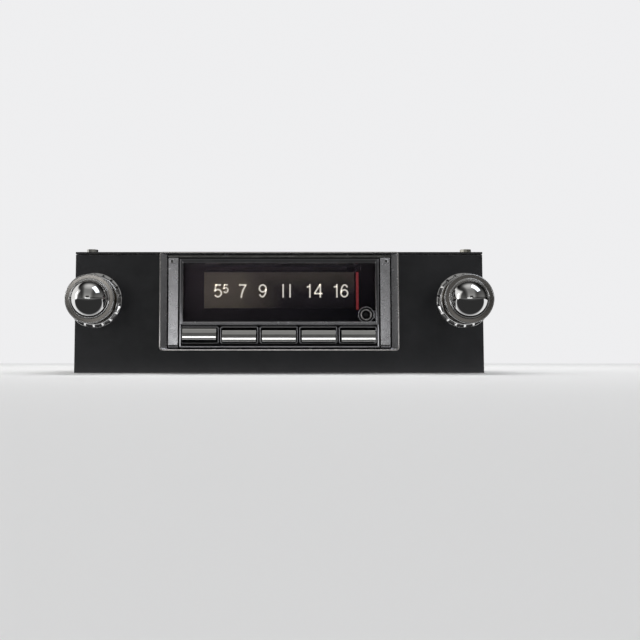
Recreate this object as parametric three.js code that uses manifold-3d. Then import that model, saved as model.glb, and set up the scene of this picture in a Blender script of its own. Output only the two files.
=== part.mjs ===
// A push-button car radio with a slide-rule dial and two dual-concentric controls.
// Millimetres. +X runs to the right of someone facing the dial, +Y into the dash, +Z up.
// Every piece is drawn in the chassis frame: x = 0 on the centreline, y = 0 on the chassis's
// front face, z = 0 under its floor. The group then carries that frame to the row frame, whose
// origin is the middle of the object's underside.
import * as THREE from "three";
import { mergeVertices } from "three/addons/utils/BufferGeometryUtils.js";
import Module from "manifold-3d";

const wasm = await Module();
wasm.setup();

// ---- Driving dimensions ----
const GAP = 0.3; // air left between two pieces that would touch
const ROUND = 36; // steps round a large turned piece
const SMALL_ROUND = 16; // steps round a small one
const TINY_ROUND = 8; // steps round a post or a screw hole

const CASE = { halfWidth: 118, depth: 116, height: 68.5, wall: 1.2 };
const COVER_TOP = 70;
const AXIS_Z = 40; // height of both control shafts and of the nose's centre
const CONTROL_X = 101; // each control shaft, left and right of the centreline

const NOSE = { front: -25, halfWidth: 54.9, top: AXIS_Z + 22.9, bottom: AXIS_Z - 25.9 };
const WINDOW = { halfWidth: 52.7, top: AXIS_Z + 21.2, bottom: AXIS_Z - 11.75, recess: 8 };
const BEZEL = { halfWidth: 65.8, top: AXIS_Z + 26.9, bottom: AXIS_Z - 27.4, corner: 2.4 };
BEZEL.back = NOSE.front + 3.7; // it rests on the front of the dash

const BUTTON = { count: 5, pitch: 21.8, z: AXIS_Z - 19.5, halfWidth: 9.2, halfHeight: 3.15 };
BUTTON.front = -28.6;
BUTTON.back = -18;
BUTTON.lift = [0.9, 0, 0, 0, 0]; // the first button rides a little high in its well
const WELL = { z: AXIS_Z - 18.95, halfWidth: 10.6, halfHeight: 4.9, rim: 0.9, corner: 1.1 };

const DIAL_PANEL = { halfWidth: 42.4, top: AXIS_Z + 17, bottom: AXIS_Z - 3.4 };
const POINTER = { x: 44, top: AXIS_Z + 16.9, bottom: AXIS_Z - 4.4, armZ: AXIS_Z + 18.9 };

const CORD = { y: 10, radius: 4, half: 0.4, pulleyZ: 53, leftX: -58, rightX: 62 };
const ROD_Z = 61.6; // the rod that the pointer slides on

const MODULE_MM = 1; // gear tooth size
const PINION_TEETH = 10;
const GEAR_TEETH = 40;
const RACK_PINION_TEETH = 8;
const MESH_ANGLE = Math.PI / 6; // the drive gear sits below and left of the tuning shaft
const CENTRES = (MODULE_MM * (PINION_TEETH + GEAR_TEETH)) / 2;
const GEAR_X = CONTROL_X - CENTRES * Math.cos(MESH_ANGLE);
const GEAR_Z = AXIS_Z - CENTRES * Math.sin(MESH_ANGLE);
const CORE_TRAVEL = { from: 41, lines: [30, 43, 56], z: 44, radius: 2.5 };

const SHAFT_R = 2.4; // inner shaft
const SLEEVE = { inner: 2.8, outer: 3.9 }; // hollow outer shaft
const BUSHING = { bore: 4.3, barrel: 5.5, shoulder: 9, seat: -18.5, front: -24.6 };
const KNOB = { rim: 13.2, neck: 10.4, rear: -32, rimY: -39.3, dome: 9.95, domeHeight: 9.2 };
const RING = { outer: 15.1, rear: -25, pockets: 18 };

const STUD_TIP = 132; // the rearmost point
const NOSE_TIP = KNOB.rimY - KNOB.domeHeight - 0.1; // the foremost point, on the domes

// ---- Materials ----
const finish = (color, roughness, metalness) => ({ color, roughness, metalness });
const CHROME = finish(0xdfe0e4, 0.06, 1);
const SATIN_CHROME = finish(0xb4b4c0, 0.22, 1);
const SMOKED = finish(0x1b1a20, 0.05, 0);
const BLACK_PLASTIC = finish(0x0d0d10, 0.45, 0);
const DIAL_FILM = finish(0x3b352f, 0.35, 0);
const RED_PAINT = finish(0xb5262b, 0.4, 0);
const ZINC = finish(0xa9abac, 0.38, 1);
const BRASS = finish(0xb08d4a, 0.35, 1);
const CASE_PAINT = finish(0x24262a, 0.5, 0.2);
const BLACK_ALLOY = finish(0x17181b, 0.45, 0.6);
const NYLON = finish(0xd9d4c4, 0.5, 0);
const CORD_BRAID = finish(0x3a3128, 0.9, 0);
const BAKELITE = finish(0x2e1c12, 0.5, 0);
const BOARD = finish(0x7a5a2c, 0.6, 0);
const BULB_GLASS = finish(0xf4efe2, 0.05, 0);

// ---- Geometry helpers ----

// A closed manifold solid from a three.js geometry, facing out whichever way it was wound.
function solid(geometry) {
  const bare = geometry.clone();
  bare.deleteAttribute("normal");
  bare.deleteAttribute("uv");
  const merged = mergeVertices(bare, 1e-4);
  const corners = Array.from(merged.index.array);
  const faces = [];
  for (let i = 0; i < corners.length; i += 3) {
    const [a, b, c] = corners.slice(i, i + 3);
    if (a !== b && b !== c && c !== a) faces.push(a, b, c);
  }
  const build = (list) =>
    new wasm.Manifold(
      new wasm.Mesh({
        numProp: 3,
        vertProperties: merged.attributes.position.array,
        triVerts: new Uint32Array(list),
      }),
    );
  const made = build(faces);
  return made.volume() > 0 ? made : build(faces.reverse());
}

const join = (first, ...rest) => rest.reduce((whole, piece) => whole.add(piece), first);
const cut = (first, ...rest) => rest.reduce((whole, piece) => whole.subtract(piece), first);

// A block between two corners, given as x, y and z ranges.
function block([x0, x1], [y0, y1], [z0, z1]) {
  const shape = new THREE.BoxGeometry(x1 - x0, y1 - y0, z1 - z0);
  return solid(shape.translate((x0 + x1) / 2, (y0 + y1) / 2, (z0 + z1) / 2));
}

// A piece turned about a line parallel to Y through (x, z). The profile is [radius, y] points,
// and it closes on itself unless it starts and ends on the axis.
function turned(profile, x, z, steps = ROUND) {
  const points = profile.map(([r, y]) => new THREE.Vector2(r, y));
  if (profile[0][0] > 0) points.push(points[0].clone());
  return solid(new THREE.LatheGeometry(points, steps).translate(x, 0, z));
}

// A plain cylinder along Y.
const disc = (x, z, r, y0, y1, steps = SMALL_ROUND) =>
  turned([[0, y0], [r, y0], [r, y1], [0, y1]], x, z, steps);

// A plain cylinder along X.
function barX(r, x0, x1, y, z, steps = SMALL_ROUND) {
  const shape = new THREE.CylinderGeometry(r, r, x1 - x0, steps).rotateZ(-Math.PI / 2);
  return solid(shape.translate((x0 + x1) / 2, y, z));
}

// A plain cylinder along Z.
function barZ(r, x, y, z0, z1, steps = SMALL_ROUND) {
  const shape = new THREE.CylinderGeometry(r, r, z1 - z0, steps).rotateX(Math.PI / 2);
  return solid(shape.translate(x, y, (z0 + z1) / 2));
}

// An outline in X and Z, thickened along Y from y0 to y1.
function slab(shape, y0, y1, options = {}) {
  const depth = y1 - y0;
  const settings = { depth, bevelEnabled: false, curveSegments: 1, ...options };
  return solid(new THREE.ExtrudeGeometry(shape, settings).rotateX(Math.PI / 2).translate(0, y1, 0));
}

// An outline in Y and Z, thickened along X from x0 to x1.
function rib(shape, x0, x1) {
  const geometry = new THREE.ExtrudeGeometry(shape, {
    depth: x1 - x0,
    bevelEnabled: false,
    curveSegments: 8,
  });
  const turn = new THREE.Matrix4().makeBasis(
    new THREE.Vector3(0, 1, 0),
    new THREE.Vector3(0, 0, 1),
    new THREE.Vector3(1, 0, 0),
  );
  return solid(geometry.applyMatrix4(turn).translate(x0, 0, 0));
}

// A rectangle with round corners, centred on (x, z).
function roundedRect(x, z, halfWidth, halfHeight, r) {
  const shape = new THREE.Shape();
  shape.moveTo(x - halfWidth + r, z - halfHeight);
  shape.absarc(x + halfWidth - r, z - halfHeight + r, r, -Math.PI / 2, 0);
  shape.absarc(x + halfWidth - r, z + halfHeight - r, r, 0, Math.PI / 2);
  shape.absarc(x - halfWidth + r, z + halfHeight - r, r, Math.PI / 2, Math.PI);
  shape.absarc(x - halfWidth + r, z - halfHeight + r, r, Math.PI, 1.5 * Math.PI);
  shape.closePath();
  return shape;
}

// The outline of a straight-sided gear, with the middle of one tooth at the phase angle.
function gearOutline(teeth, x, z, phase) {
  const pitch = (2 * Math.PI) / teeth;
  const radius = (MODULE_MM * teeth) / 2;
  const root = radius - 1.15 * MODULE_MM;
  const tip = radius + 0.75 * MODULE_MM;
  const flanks = [[root, -0.3], [tip, -0.1], [tip, 0.1], [root, 0.3]];
  const points = [];
  for (let tooth = 0; tooth < teeth; tooth += 1) {
    for (const [r, share] of flanks) {
      const angle = phase + (tooth + share) * pitch;
      points.push(new THREE.Vector2(x + r * Math.cos(angle), z + r * Math.sin(angle)));
    }
  }
  return new THREE.Shape(points);
}

// A helix along +Y.
class Helix extends THREE.Curve {
  constructor(x, z, radius, y0, y1, turns) {
    super();
    Object.assign(this, { x, z, radius, y0, y1, turns });
  }

  getPoint(t, target = new THREE.Vector3()) {
    const angle = 2 * Math.PI * this.turns * t;
    const y = this.y0 + (this.y1 - this.y0) * t;
    const across = this.x + this.radius * Math.cos(angle);
    return target.set(across, y, this.z + this.radius * Math.sin(angle));
  }
}

const radio = new THREE.Group();
radio.position.y = -(STUD_TIP + NOSE_TIP) / 2;

// Adds one named sub-part to the radio.
function add(name, shape, { color, roughness, metalness }) {
  const { vertProperties, triVerts } = shape.getMesh();
  const geometry = new THREE.BufferGeometry();
  geometry.setAttribute("position", new THREE.BufferAttribute(vertProperties, 3));
  geometry.setIndex(new THREE.BufferAttribute(triVerts, 1));
  geometry.computeVertexNormals();
  const material = new THREE.MeshStandardMaterial({ color, roughness, metalness });
  const mesh = new THREE.Mesh(geometry, material);
  mesh.name = name;
  radio.add(mesh);
}

const buttonX = (index) => (index - (BUTTON.count - 1) / 2) * BUTTON.pitch;

// ---- Nose: trim frame, nosepiece, window and dial ----

// The trim frame: a thin outer lip, a flat band, a raised pilaster at each end and a rail
// along the top, all round the opening for the nosepiece.
function bezelFrame() {
  const floor = NOSE.front + 2.8;
  const middle = (BEZEL.top + BEZEL.bottom) / 2;
  const halfHeight = (BEZEL.top - BEZEL.bottom) / 2;
  const outline = (inset) =>
    roundedRect(0, middle, BEZEL.halfWidth - inset, halfHeight - inset, BEZEL.corner - inset / 2);
  const lip = slab(outline(0), NOSE.front, BEZEL.back).subtract(
    slab(outline(0.9), NOSE.front - 1, floor),
  );
  const railTop = AXIS_Z + 25;
  const raised = [NOSE.front + 0.5, floor + 0.4];
  const innerEdge = NOSE.halfWidth + GAP;
  const pilasters = [-1, 1].map((side) => {
    const edges = [side * (innerEdge + 0.5), side * 60.9].sort((a, b) => a - b);
    return block(edges, raised, [NOSE.bottom - 0.2, railTop]);
  });
  const rail = block([-60, 60], raised, [NOSE.top + 2 * GAP, railTop]);
  const opening = block(
    [-innerEdge, innerEdge],
    [NOSE.front - 1, 0],
    [NOSE.bottom - GAP, NOSE.top + GAP],
  );
  return cut(join(lip, ...pilasters, rail), opening);
}

// The die-cast nosepiece: a deep hood round the window, a moulded strip under it, and below
// that five rimmed wells for the push buttons. It is open at the back.
function nosepiece() {
  const sides = [-NOSE.halfWidth, NOSE.halfWidth];
  const back = -GAP;
  const glassY = NOSE.front + WINDOW.recess;
  const body = block(sides, [NOSE.front, back], [NOSE.bottom, NOSE.top]);
  const mouth = block(
    [-WINDOW.halfWidth, WINDOW.halfWidth],
    [NOSE.front - 1, back - 1],
    [WINDOW.bottom, WINDOW.top],
  );
  const cavitySides = [-WINDOW.halfWidth - 0.9, WINDOW.halfWidth + 0.9];
  const dialCavity = block(
    cavitySides,
    [glassY - GAP, back + 1],
    [WINDOW.bottom - 0.9, WINDOW.top + 0.9],
  );
  const recessTop = WINDOW.bottom - 1.85;
  const lowerRecess = block(
    cavitySides,
    [NOSE.front - 1, NOSE.front + 1.2],
    [NOSE.bottom + 1.1, recessTop],
  );
  const buttonCavity = block(
    cavitySides,
    [NOSE.front + 3.5, back + 1],
    [NOSE.bottom + 1.4, recessTop - 0.4],
  );
  let made = cut(body, mouth, dialCavity, lowerRecess, buttonCavity);
  for (let index = 0; index < BUTTON.count; index += 1) {
    const x = buttonX(index);
    const { halfWidth, halfHeight, rim, corner } = WELL;
    const rimOutline = roundedRect(x, WELL.z, halfWidth, halfHeight, corner);
    const hole = roundedRect(x, WELL.z, halfWidth - rim, halfHeight - rim, corner - rim / 2);
    made = made.add(slab(rimOutline, NOSE.front + 0.4, NOSE.front + 2));
    made = made.subtract(slab(hole, NOSE.front - 1, NOSE.front + 4));
  }
  return made;
}

const INDICATOR = { x: 48, z: AXIS_Z - 7.1, outer: 4.3, barrel: 3.4, inner: 2.5 };

// The clear window, with a hole for the indicator's barrel.
function dialWindow() {
  const front = NOSE.front + WINDOW.recess;
  const pane = block(
    [-WINDOW.halfWidth - 0.6, WINDOW.halfWidth + 0.6],
    [front, front + 2.5],
    [WINDOW.bottom - 0.6, WINDOW.top + 0.6],
  );
  return cut(pane, disc(INDICATOR.x, INDICATOR.z, INDICATOR.barrel + GAP, front - 1, front + 4));
}

const PLATE_Y = -10.5;

// The black plate behind the dial, with a lamp aperture and the slot that the pointer's arm
// runs in.
function dialPlate() {
  const plate = block(
    [-WINDOW.halfWidth - 0.6, WINDOW.halfWidth + 0.6],
    [PLATE_Y, PLATE_Y + 1.2],
    [WINDOW.bottom - 0.6, WINDOW.top + 0.6],
  );
  const through = [PLATE_Y - 1, PLATE_Y + 3];
  const aperture = block([-41, 41], through, [DIAL_PANEL.bottom + 1.5, DIAL_PANEL.top - 1.3]);
  const slot = block([-42, 46.5], through, [POINTER.armZ - 1.2, POINTER.armZ + 1.2]);
  return cut(plate, aperture, slot);
}

function buildNose() {
  add("bezel_frame", bezelFrame(), SATIN_CHROME);
  add("nosepiece", nosepiece(), CHROME);
  add("dial_window", dialWindow(), SMOKED);
  add("dial_plate", dialPlate(), BLACK_PLASTIC);
  const panelY = [PLATE_Y - 1.1, PLATE_Y - GAP];
  const { halfWidth, bottom, top } = DIAL_PANEL;
  add("dial_panel", block([-halfWidth, halfWidth], panelY, [bottom, top]), DIAL_FILM);

  const { x, z, outer, barrel, inner } = INDICATOR;
  const glassFront = NOSE.front + WINDOW.recess;
  const ring = [
    [inner, glassFront - 1.8],
    [inner, glassFront + 3.2],
    [barrel, glassFront + 3.2],
    [barrel, glassFront - GAP],
    [outer, glassFront - GAP],
    [outer, glassFront - 1.3],
    [outer - 0.5, glassFront - 1.8],
  ];
  add("indicator_ring", turned(ring, x, z, SMALL_ROUND), SATIN_CHROME);
  const lens = disc(x, z, inner - GAP, glassFront - 0.4, glassFront + 3.2);
  add("indicator_lens", lens, SMOKED);
}

// ---- Pointer, its rod and the dial cord ----

function pointerSlider() {
  const body = block([POINTER.x - 4, POINTER.x + 4], [CORD.y - 2.5, CORD.y + 2.5], [55.4, 63.6]);
  const bore = barX(1.6, POINTER.x - 5, POINTER.x + 5, CORD.y, ROD_Z, 12);
  const strand = block(
    [POINTER.x - 5, POINTER.x + 5],
    [CORD.y - CORD.half - GAP, CORD.y + CORD.half + GAP],
    [54, CORD.pulleyZ + CORD.radius + CORD.half + GAP],
  );
  const armZ = [POINTER.armZ - 0.7, POINTER.armZ + 0.7];
  const arm = block([POINTER.x - 0.9, POINTER.x + 0.9], [-12.4, CORD.y - 2], armZ);
  const tab = block([POINTER.x - 0.5, POINTER.x + 0.5], [-12.4, -11.9], [52, armZ[1]]);
  return cut(body, bore, strand).add(join(arm, tab));
}

// The closed loop that a cord makes round three equal wheels, at a given distance from their
// centres: an arc round each wheel, joined by straight runs.
function loopOutline(distance) {
  const wheels = [
    [CORD.leftX, CORD.pulleyZ],
    [CONTROL_X, AXIS_Z],
    [CORD.rightX, CORD.pulleyZ],
  ];
  const outline = new THREE.Shape();
  const facing = ([x0, z0], [x1, z1]) => Math.atan2(z1 - z0, x1 - x0) - Math.PI / 2;
  wheels.forEach((wheel, index) => {
    const before = wheels[(index + 2) % 3];
    const after = wheels[(index + 1) % 3];
    let end = facing(wheel, after);
    const start = facing(before, wheel);
    while (end < start) end += 2 * Math.PI;
    outline.absarc(wheel[0], wheel[1], distance, start, end);
  });
  outline.closePath();
  return outline;
}

function dialCord() {
  const loop = loopOutline(CORD.radius + CORD.half);
  loop.holes.push(loopOutline(CORD.radius - CORD.half));
  return slab(loop, CORD.y - CORD.half, CORD.y + CORD.half, { curveSegments: 5 });
}

// The grooved wheel shared by the two pulleys and the tuning shaft's capstan: [radius, y].
const grooveProfile = () => {
  const bottom = CORD.radius - CORD.half - GAP;
  const flange = CORD.radius + 0.8;
  return [
    [flange, CORD.y - 1.7],
    [flange, CORD.y - 0.8],
    [bottom, CORD.y - 0.7],
    [bottom, CORD.y + 0.7],
    [flange, CORD.y + 0.8],
    [flange, CORD.y + 1.7],
  ];
};

const PULLEY_BORE = 1.6;

function cordPulley(x) {
  const profile = [[PULLEY_BORE, CORD.y - 1.7], ...grooveProfile(), [PULLEY_BORE, CORD.y + 1.7]];
  return turned(profile, x, CORD.pulleyZ, SMALL_ROUND);
}

function buildPointer() {
  const needle = block(
    [POINTER.x - 0.8, POINTER.x + 0.8],
    [-13.3, -12.7],
    [POINTER.bottom, POINTER.top],
  );
  add("pointer_needle", needle, RED_PAINT);
  add("pointer_slider", pointerSlider(), BLACK_PLASTIC);
  add("guide_rod", barX(1.2, CORD.leftX - 9, CORD.rightX + 9, CORD.y, ROD_Z, 12), ZINC);
  add("dial_cord", dialCord(), CORD_BRAID);
  add("cord_pulley_left", cordPulley(CORD.leftX), NYLON);
  add("cord_pulley_right", cordPulley(CORD.rightX), NYLON);
}

// ---- Push buttons, their slides, springs and guide ----

const SLIDE = { halfWidth: 3, half: 0.8, front: -21.7, back: 50, shoulder: 20 };
const SPRING = { radius: 4.3, wire: 0.45, turns: 4 };
const GUIDE_Y = 40;

// A button's cap: a bar with a convex face, socketed at the back for its slide.
function buttonCap(x, z) {
  const { halfWidth, halfHeight, front, back } = BUTTON;
  const bulge = front + 2.4;
  const side = new THREE.Shape();
  side.moveTo(back, z - halfHeight);
  side.lineTo(back, z + halfHeight);
  side.lineTo(bulge, z + halfHeight);
  side.quadraticCurveTo(front, z + halfHeight - 0.5, front, z);
  side.quadraticCurveTo(front, z - halfHeight + 0.5, bulge, z - halfHeight);
  side.closePath();
  const socket = block(
    [x - SLIDE.halfWidth - GAP, x + SLIDE.halfWidth + GAP],
    [SLIDE.front - GAP, back + 1],
    [z - SLIDE.half - GAP, z + SLIDE.half + GAP],
  );
  return cut(rib(side, x - halfWidth, x + halfWidth), socket);
}

// A flat steel slide with the shoulder that its return spring pushes on, and the cam sector
// that sets the tuner.
function buttonSlide(x, z) {
  const strip = block(
    [x - SLIDE.halfWidth, x + SLIDE.halfWidth],
    [SLIDE.front, SLIDE.back],
    [z - SLIDE.half, z + SLIDE.half],
  );
  const shoulder = block(
    [x - 4.5, x + 4.5],
    [SLIDE.shoulder, SLIDE.shoulder + 1.5],
    [z - 1.4, z + 1.4],
  );
  const cam = barX(5, x - 0.8, x + 0.8, SLIDE.shoulder - 8, z + 1, 10);
  return join(strip, shoulder, cam);
}

function buttonSpring(x, z) {
  const ends = [SLIDE.shoulder + 1.5 + GAP + SPRING.wire, GUIDE_Y - GAP - SPRING.wire];
  const path = new Helix(x, z, SPRING.radius, ends[0] + 0.1, ends[1] - 0.1, SPRING.turns);
  const section = new THREE.Shape();
  section.absarc(0, 0, SPRING.wire, 0, 2 * Math.PI);
  return solid(
    new THREE.ExtrudeGeometry(section, {
      extrudePath: path,
      steps: SPRING.turns * 8,
      curveSegments: 2,
      bevelEnabled: false,
    }),
  );
}

// The bent plate that steadies the five slides and takes the push of their springs.
function slideGuide() {
  const floor = CASE.wall + GAP;
  const across = [-49.5, 49.5];
  const upright = block(across, [GUIDE_Y, GUIDE_Y + 1.2], [floor, 29]);
  const foot = block(across, [GUIDE_Y, GUIDE_Y + 8], [floor, floor + 1.2]);
  const slots = BUTTON.lift.map((lift, index) => {
    const x = buttonX(index);
    const z = BUTTON.z + lift;
    return block([x - 3.5, x + 3.5], [GUIDE_Y - 1, GUIDE_Y + 3], [z - 1.4, z + 1.4]);
  });
  return cut(join(upright, foot), ...slots);
}

function buildButtons() {
  BUTTON.lift.forEach((lift, index) => {
    const x = buttonX(index);
    const z = BUTTON.z + lift;
    add(`preset_button_${index + 1}`, buttonCap(x, z), CHROME);
    add(`button_slide_${index + 1}`, buttonSlide(x, z), ZINC);
    add(`button_spring_${index + 1}`, buttonSpring(x, z), ZINC);
  });
  add("slide_guide", slideGuide(), ZINC);
}

// ---- Dual-concentric controls ----

// The domed front knob: a neck, a flared brim and a ball-shaped crown, bored for its shaft.
function frontKnob(x) {
  const { rim, neck, rear, rimY, dome, domeHeight } = KNOB;
  const base = rimY - 0.1;
  const steps = 6;
  const crown = Array.from({ length: steps }, (_, step) => {
    const angle = ((step + 1) / steps) * (Math.PI / 2);
    return [dome * Math.cos(angle), base - domeHeight * Math.sin(angle)];
  });
  crown[steps - 1][0] = 0;
  const profile = [
    [0, rear - 10.6],
    [SHAFT_R + GAP, rear - 10.6],
    [SHAFT_R + GAP, rear],
    [neck, rear],
    [neck + 0.5, rear - 4],
    [rim, rimY + 0.7],
    [rim, rimY],
    [rim - 0.5, rimY - 0.3],
    [dome + 0.6, rimY + 0.1],
    [dome, base],
    ...crown,
  ];
  return turned(profile, x, AXIS_Z);
}

// The notched ring behind it: a short cylinder and a cone cut with pockets, round a dish and
// a hub that grips the hollow shaft.
function ringKnob(x) {
  const { outer, rear, pockets } = RING;
  const hub = SLEEVE.outer + GAP;
  const profile = [
    [hub, rear - 3.2],
    [hub, rear],
    [outer, rear],
    [outer, rear - 1.8],
    [outer - 2.3, rear - 4.4],
    [outer - 3.2, rear - 4.4],
    [outer - 3.4, rear - 3.2],
  ];
  let ring = turned(profile, x, AXIS_Z, 2 * pockets);
  for (let index = 0; index < pockets; index += 1) {
    const angle = ((index + 0.5) / pockets) * 2 * Math.PI;
    const pocket = new THREE.BoxGeometry(3.4, 2, 1.4);
    pocket.rotateX(THREE.MathUtils.degToRad(48));
    pocket.translate(0, rear - 3.1, outer - 1.15);
    pocket.rotateY(angle);
    ring = ring.subtract(solid(pocket.translate(x, 0, AXIS_Z)));
  }
  return ring;
}

// The fixed bushing: a threaded barrel, with the shoulder that the dash is clamped against.
function bushing(x) {
  const { bore, barrel, shoulder, seat, front } = BUSHING;
  const profile = [
    [bore, front],
    [bore, CASE.wall + GAP],
    [barrel, CASE.wall + GAP],
    [barrel, seat + 3],
    [shoulder, seat + 3],
    [shoulder, seat],
    [barrel, seat],
    [barrel, front + 0.5],
    [barrel - 0.5, front],
  ];
  return turned(profile, x, AXIS_Z, SMALL_ROUND);
}

function hexNut(x) {
  const across = 8; // from the axis to a corner
  const nut = disc(x, AXIS_Z, across, BUSHING.seat - 5.3, BUSHING.seat - 2.5, 6);
  return cut(nut, disc(x, AXIS_Z, BUSHING.barrel + GAP, -30, -10));
}

function sleeve(x, back) {
  const { inner, outer } = SLEEVE;
  const profile = [[inner, -30.9], [inner, back], [outer, back], [outer, -30.9]];
  return turned(profile, x, AXIS_Z, SMALL_ROUND);
}

// The tuning shaft carries the cord's capstan and the pinion that drives the gear.
function tuningShaft() {
  const profile = [
    [0, -42],
    [SHAFT_R, -42],
    [SHAFT_R, CORD.y - 1.7],
    ...grooveProfile(),
    [SHAFT_R, CORD.y + 1.7],
    [SHAFT_R, 24],
    [0, 24],
  ];
  const shaft = turned(profile, CONTROL_X, AXIS_Z, SMALL_ROUND);
  const phase = Math.PI + MESH_ANGLE;
  const pinion = gearOutline(PINION_TEETH, CONTROL_X, AXIS_Z, phase);
  return shaft.add(slab(pinion, 17.6, 21.4));
}

// The body of a control: resistance wafers round the shafts, with three solder tags below.
function controlBody(x, back, radius, step) {
  const wide = SLEEVE.outer + 0.4;
  const front = CASE.wall + 2 * GAP;
  const profile = [[wide, front], [wide, step], [SHAFT_R + 0.4, step], [SHAFT_R + 0.4, back]];
  profile.push([radius - 1, back], [radius, back - 1], [radius, front]);
  const tags = [-5, 0, 5].map((offset) => {
    const across = [x + offset - 0.8, x + offset + 0.8];
    return block(across, [front + 1.2, front + 1.8], [AXIS_Z - radius - 4, AXIS_Z - radius + 3]);
  });
  return join(turned(profile, x, AXIS_Z, SMALL_ROUND), ...tags);
}

function buildControls() {
  for (const [side, knob, ring, inner, outer] of [
    [-1, "volume_knob", "tone_ring", "volume_shaft", "tone_shaft"],
    [1, "tuning_knob", "fader_ring", "tuning_shaft", "fader_shaft"],
  ]) {
    const x = side * CONTROL_X;
    add(knob, frontKnob(x), CHROME);
    add(ring, ringKnob(x), CHROME);
    add(outer, sleeve(x, side < 0 ? 6 : 4), BRASS);
    const shaft = side < 0 ? disc(x, AXIS_Z, SHAFT_R, -42, 16) : tuningShaft();
    add(inner, shaft, ZINC);
    const hand = side < 0 ? "left" : "right";
    add(`${hand}_bushing`, bushing(x), ZINC);
    add(`${hand}_nut`, hexNut(x), ZINC);
  }
  add("volume_control", controlBody(-CONTROL_X, 22, 12, 8), BAKELITE);
  add("fader_control", controlBody(CONTROL_X, 6, 11, 5), BAKELITE);
}

// ---- Tuner ----

const RACK_TOP = GEAR_Z - (MODULE_MM * RACK_PINION_TEETH) / 2; // the rack's pitch line

function driveGear() {
  const phase = MESH_ANGLE + Math.PI / GEAR_TEETH;
  const wheel = slab(gearOutline(GEAR_TEETH, GEAR_X, GEAR_Z, phase), 18, 21);
  const small = gearOutline(RACK_PINION_TEETH, GEAR_X, GEAR_Z, Math.PI / 2);
  const hub = disc(GEAR_X, GEAR_Z, 2.8, 20, 27, 12);
  const bore = disc(GEAR_X, GEAR_Z, 2, 10, 30, 12);
  return cut(join(wheel, hub, slab(small, 20.5, 26)), bore);
}

// The rack under the gear's small pinion, with the crosshead that carries the tuning cores.
function coreRack() {
  const pitch = Math.PI * MODULE_MM;
  const [left, right] = [71, 101];
  const root = RACK_TOP - 1.15 * MODULE_MM;
  const tip = RACK_TOP + 0.75 * MODULE_MM;
  const outline = new THREE.Shape();
  outline.moveTo(left, root - 3);
  outline.lineTo(right, root - 3);
  outline.lineTo(right, root);
  // Eight teeth: with a pinion tooth pointing down, a gap of the rack lies under it.
  for (let tooth = 7; tooth >= 0; tooth -= 1) {
    const x = GEAR_X + (tooth - 0.5) * pitch;
    outline.lineTo(x + 0.26 * pitch, root);
    outline.lineTo(x + 0.08 * pitch, tip);
    outline.lineTo(x - 0.08 * pitch, tip);
    outline.lineTo(x - 0.26 * pitch, root);
  }
  outline.lineTo(left, root);
  outline.closePath();
  const bar = slab(outline, 22.5, 25.5);
  const { from, lines, z, radius } = CORE_TRAVEL;
  const crosshead = block([left, left + 2.5], [22.5, 60], [root - 3, z + 5]);
  const cores = lines.map((y) => barX(radius, from, left + 0.5, y, z, TINY_ROUND));
  return join(bar, crosshead, ...cores);
}

// Three coil formers with their windings, on a bracket that stands on the floor.
function coilBlock() {
  const { lines, z, radius } = CORE_TRAVEL;
  const deck = block([7, 49.5], [24, 61], [z - 9.5, z - 8]);
  const cheeks = [8, 46].map((x) => block([x, x + 2], [24, 61], [z - 8.5, z + 6]));
  const floor = CASE.wall + GAP;
  const legs = [10.2, 32.6].map((x) => block([x, x + 1.6], [49, 61], [floor, z - 8.5]));
  const formers = lines.map((y) => barX(radius + 1.9, 6, 49.5, y, z, TINY_ROUND));
  const windings = lines.map((y) => barX(radius + 3.4, 14, 42, y, z, TINY_ROUND));
  const bores = lines.map((y) => barX(radius + 0.8, 5, 51, y, z, TINY_ROUND));
  return cut(join(deck, ...cheeks, ...legs, ...formers, ...windings), ...bores);
}

function buildTuner() {
  add("drive_gear", driveGear(), BRASS);
  add("core_rack", coreRack(), ZINC);
  add("coil_block", coilBlock(), BAKELITE);
  add("lamp_socket", barZ(4.5, BUTTON.pitch / 2, 6.1, 25.5, 33.5, 12), BRASS);
  const bulb = [[0, 33.8], [2.2, 33.8], [3.4, 36.5], [3.4, 39], [2, 41.4], [0, 42]];
  const shape = new THREE.LatheGeometry(bulb.map(([r, y]) => new THREE.Vector2(r, y)), 12);
  shape.rotateX(Math.PI / 2).translate(BUTTON.pitch / 2, 6.1, 0);
  add("dial_lamp", solid(shape), BULB_GLASS);
}

// ---- Chassis, board and rear fittings ----

const SCREWS = [[-1, 8], [1, 8], [-1, 108], [1, 108]].map(([side, y]) => [side * 110, y]);
const ANTENNA = { x: -92, z: AXIS_Z, outer: 6.5, bore: 3.8 };
const HARNESS = { x: -52, z: AXIS_Z - 2, halfWidth: 14, halfHeight: 8 };
const HEAT_SINK = { x: 70, halfWidth: 33, bottom: 10, top: 62 };

// Evenly spaced offsets either side of zero.
const spread = (count, pitch) =>
  Array.from({ length: count }, (_, index) => (index - (count - 1) / 2) * pitch);

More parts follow.
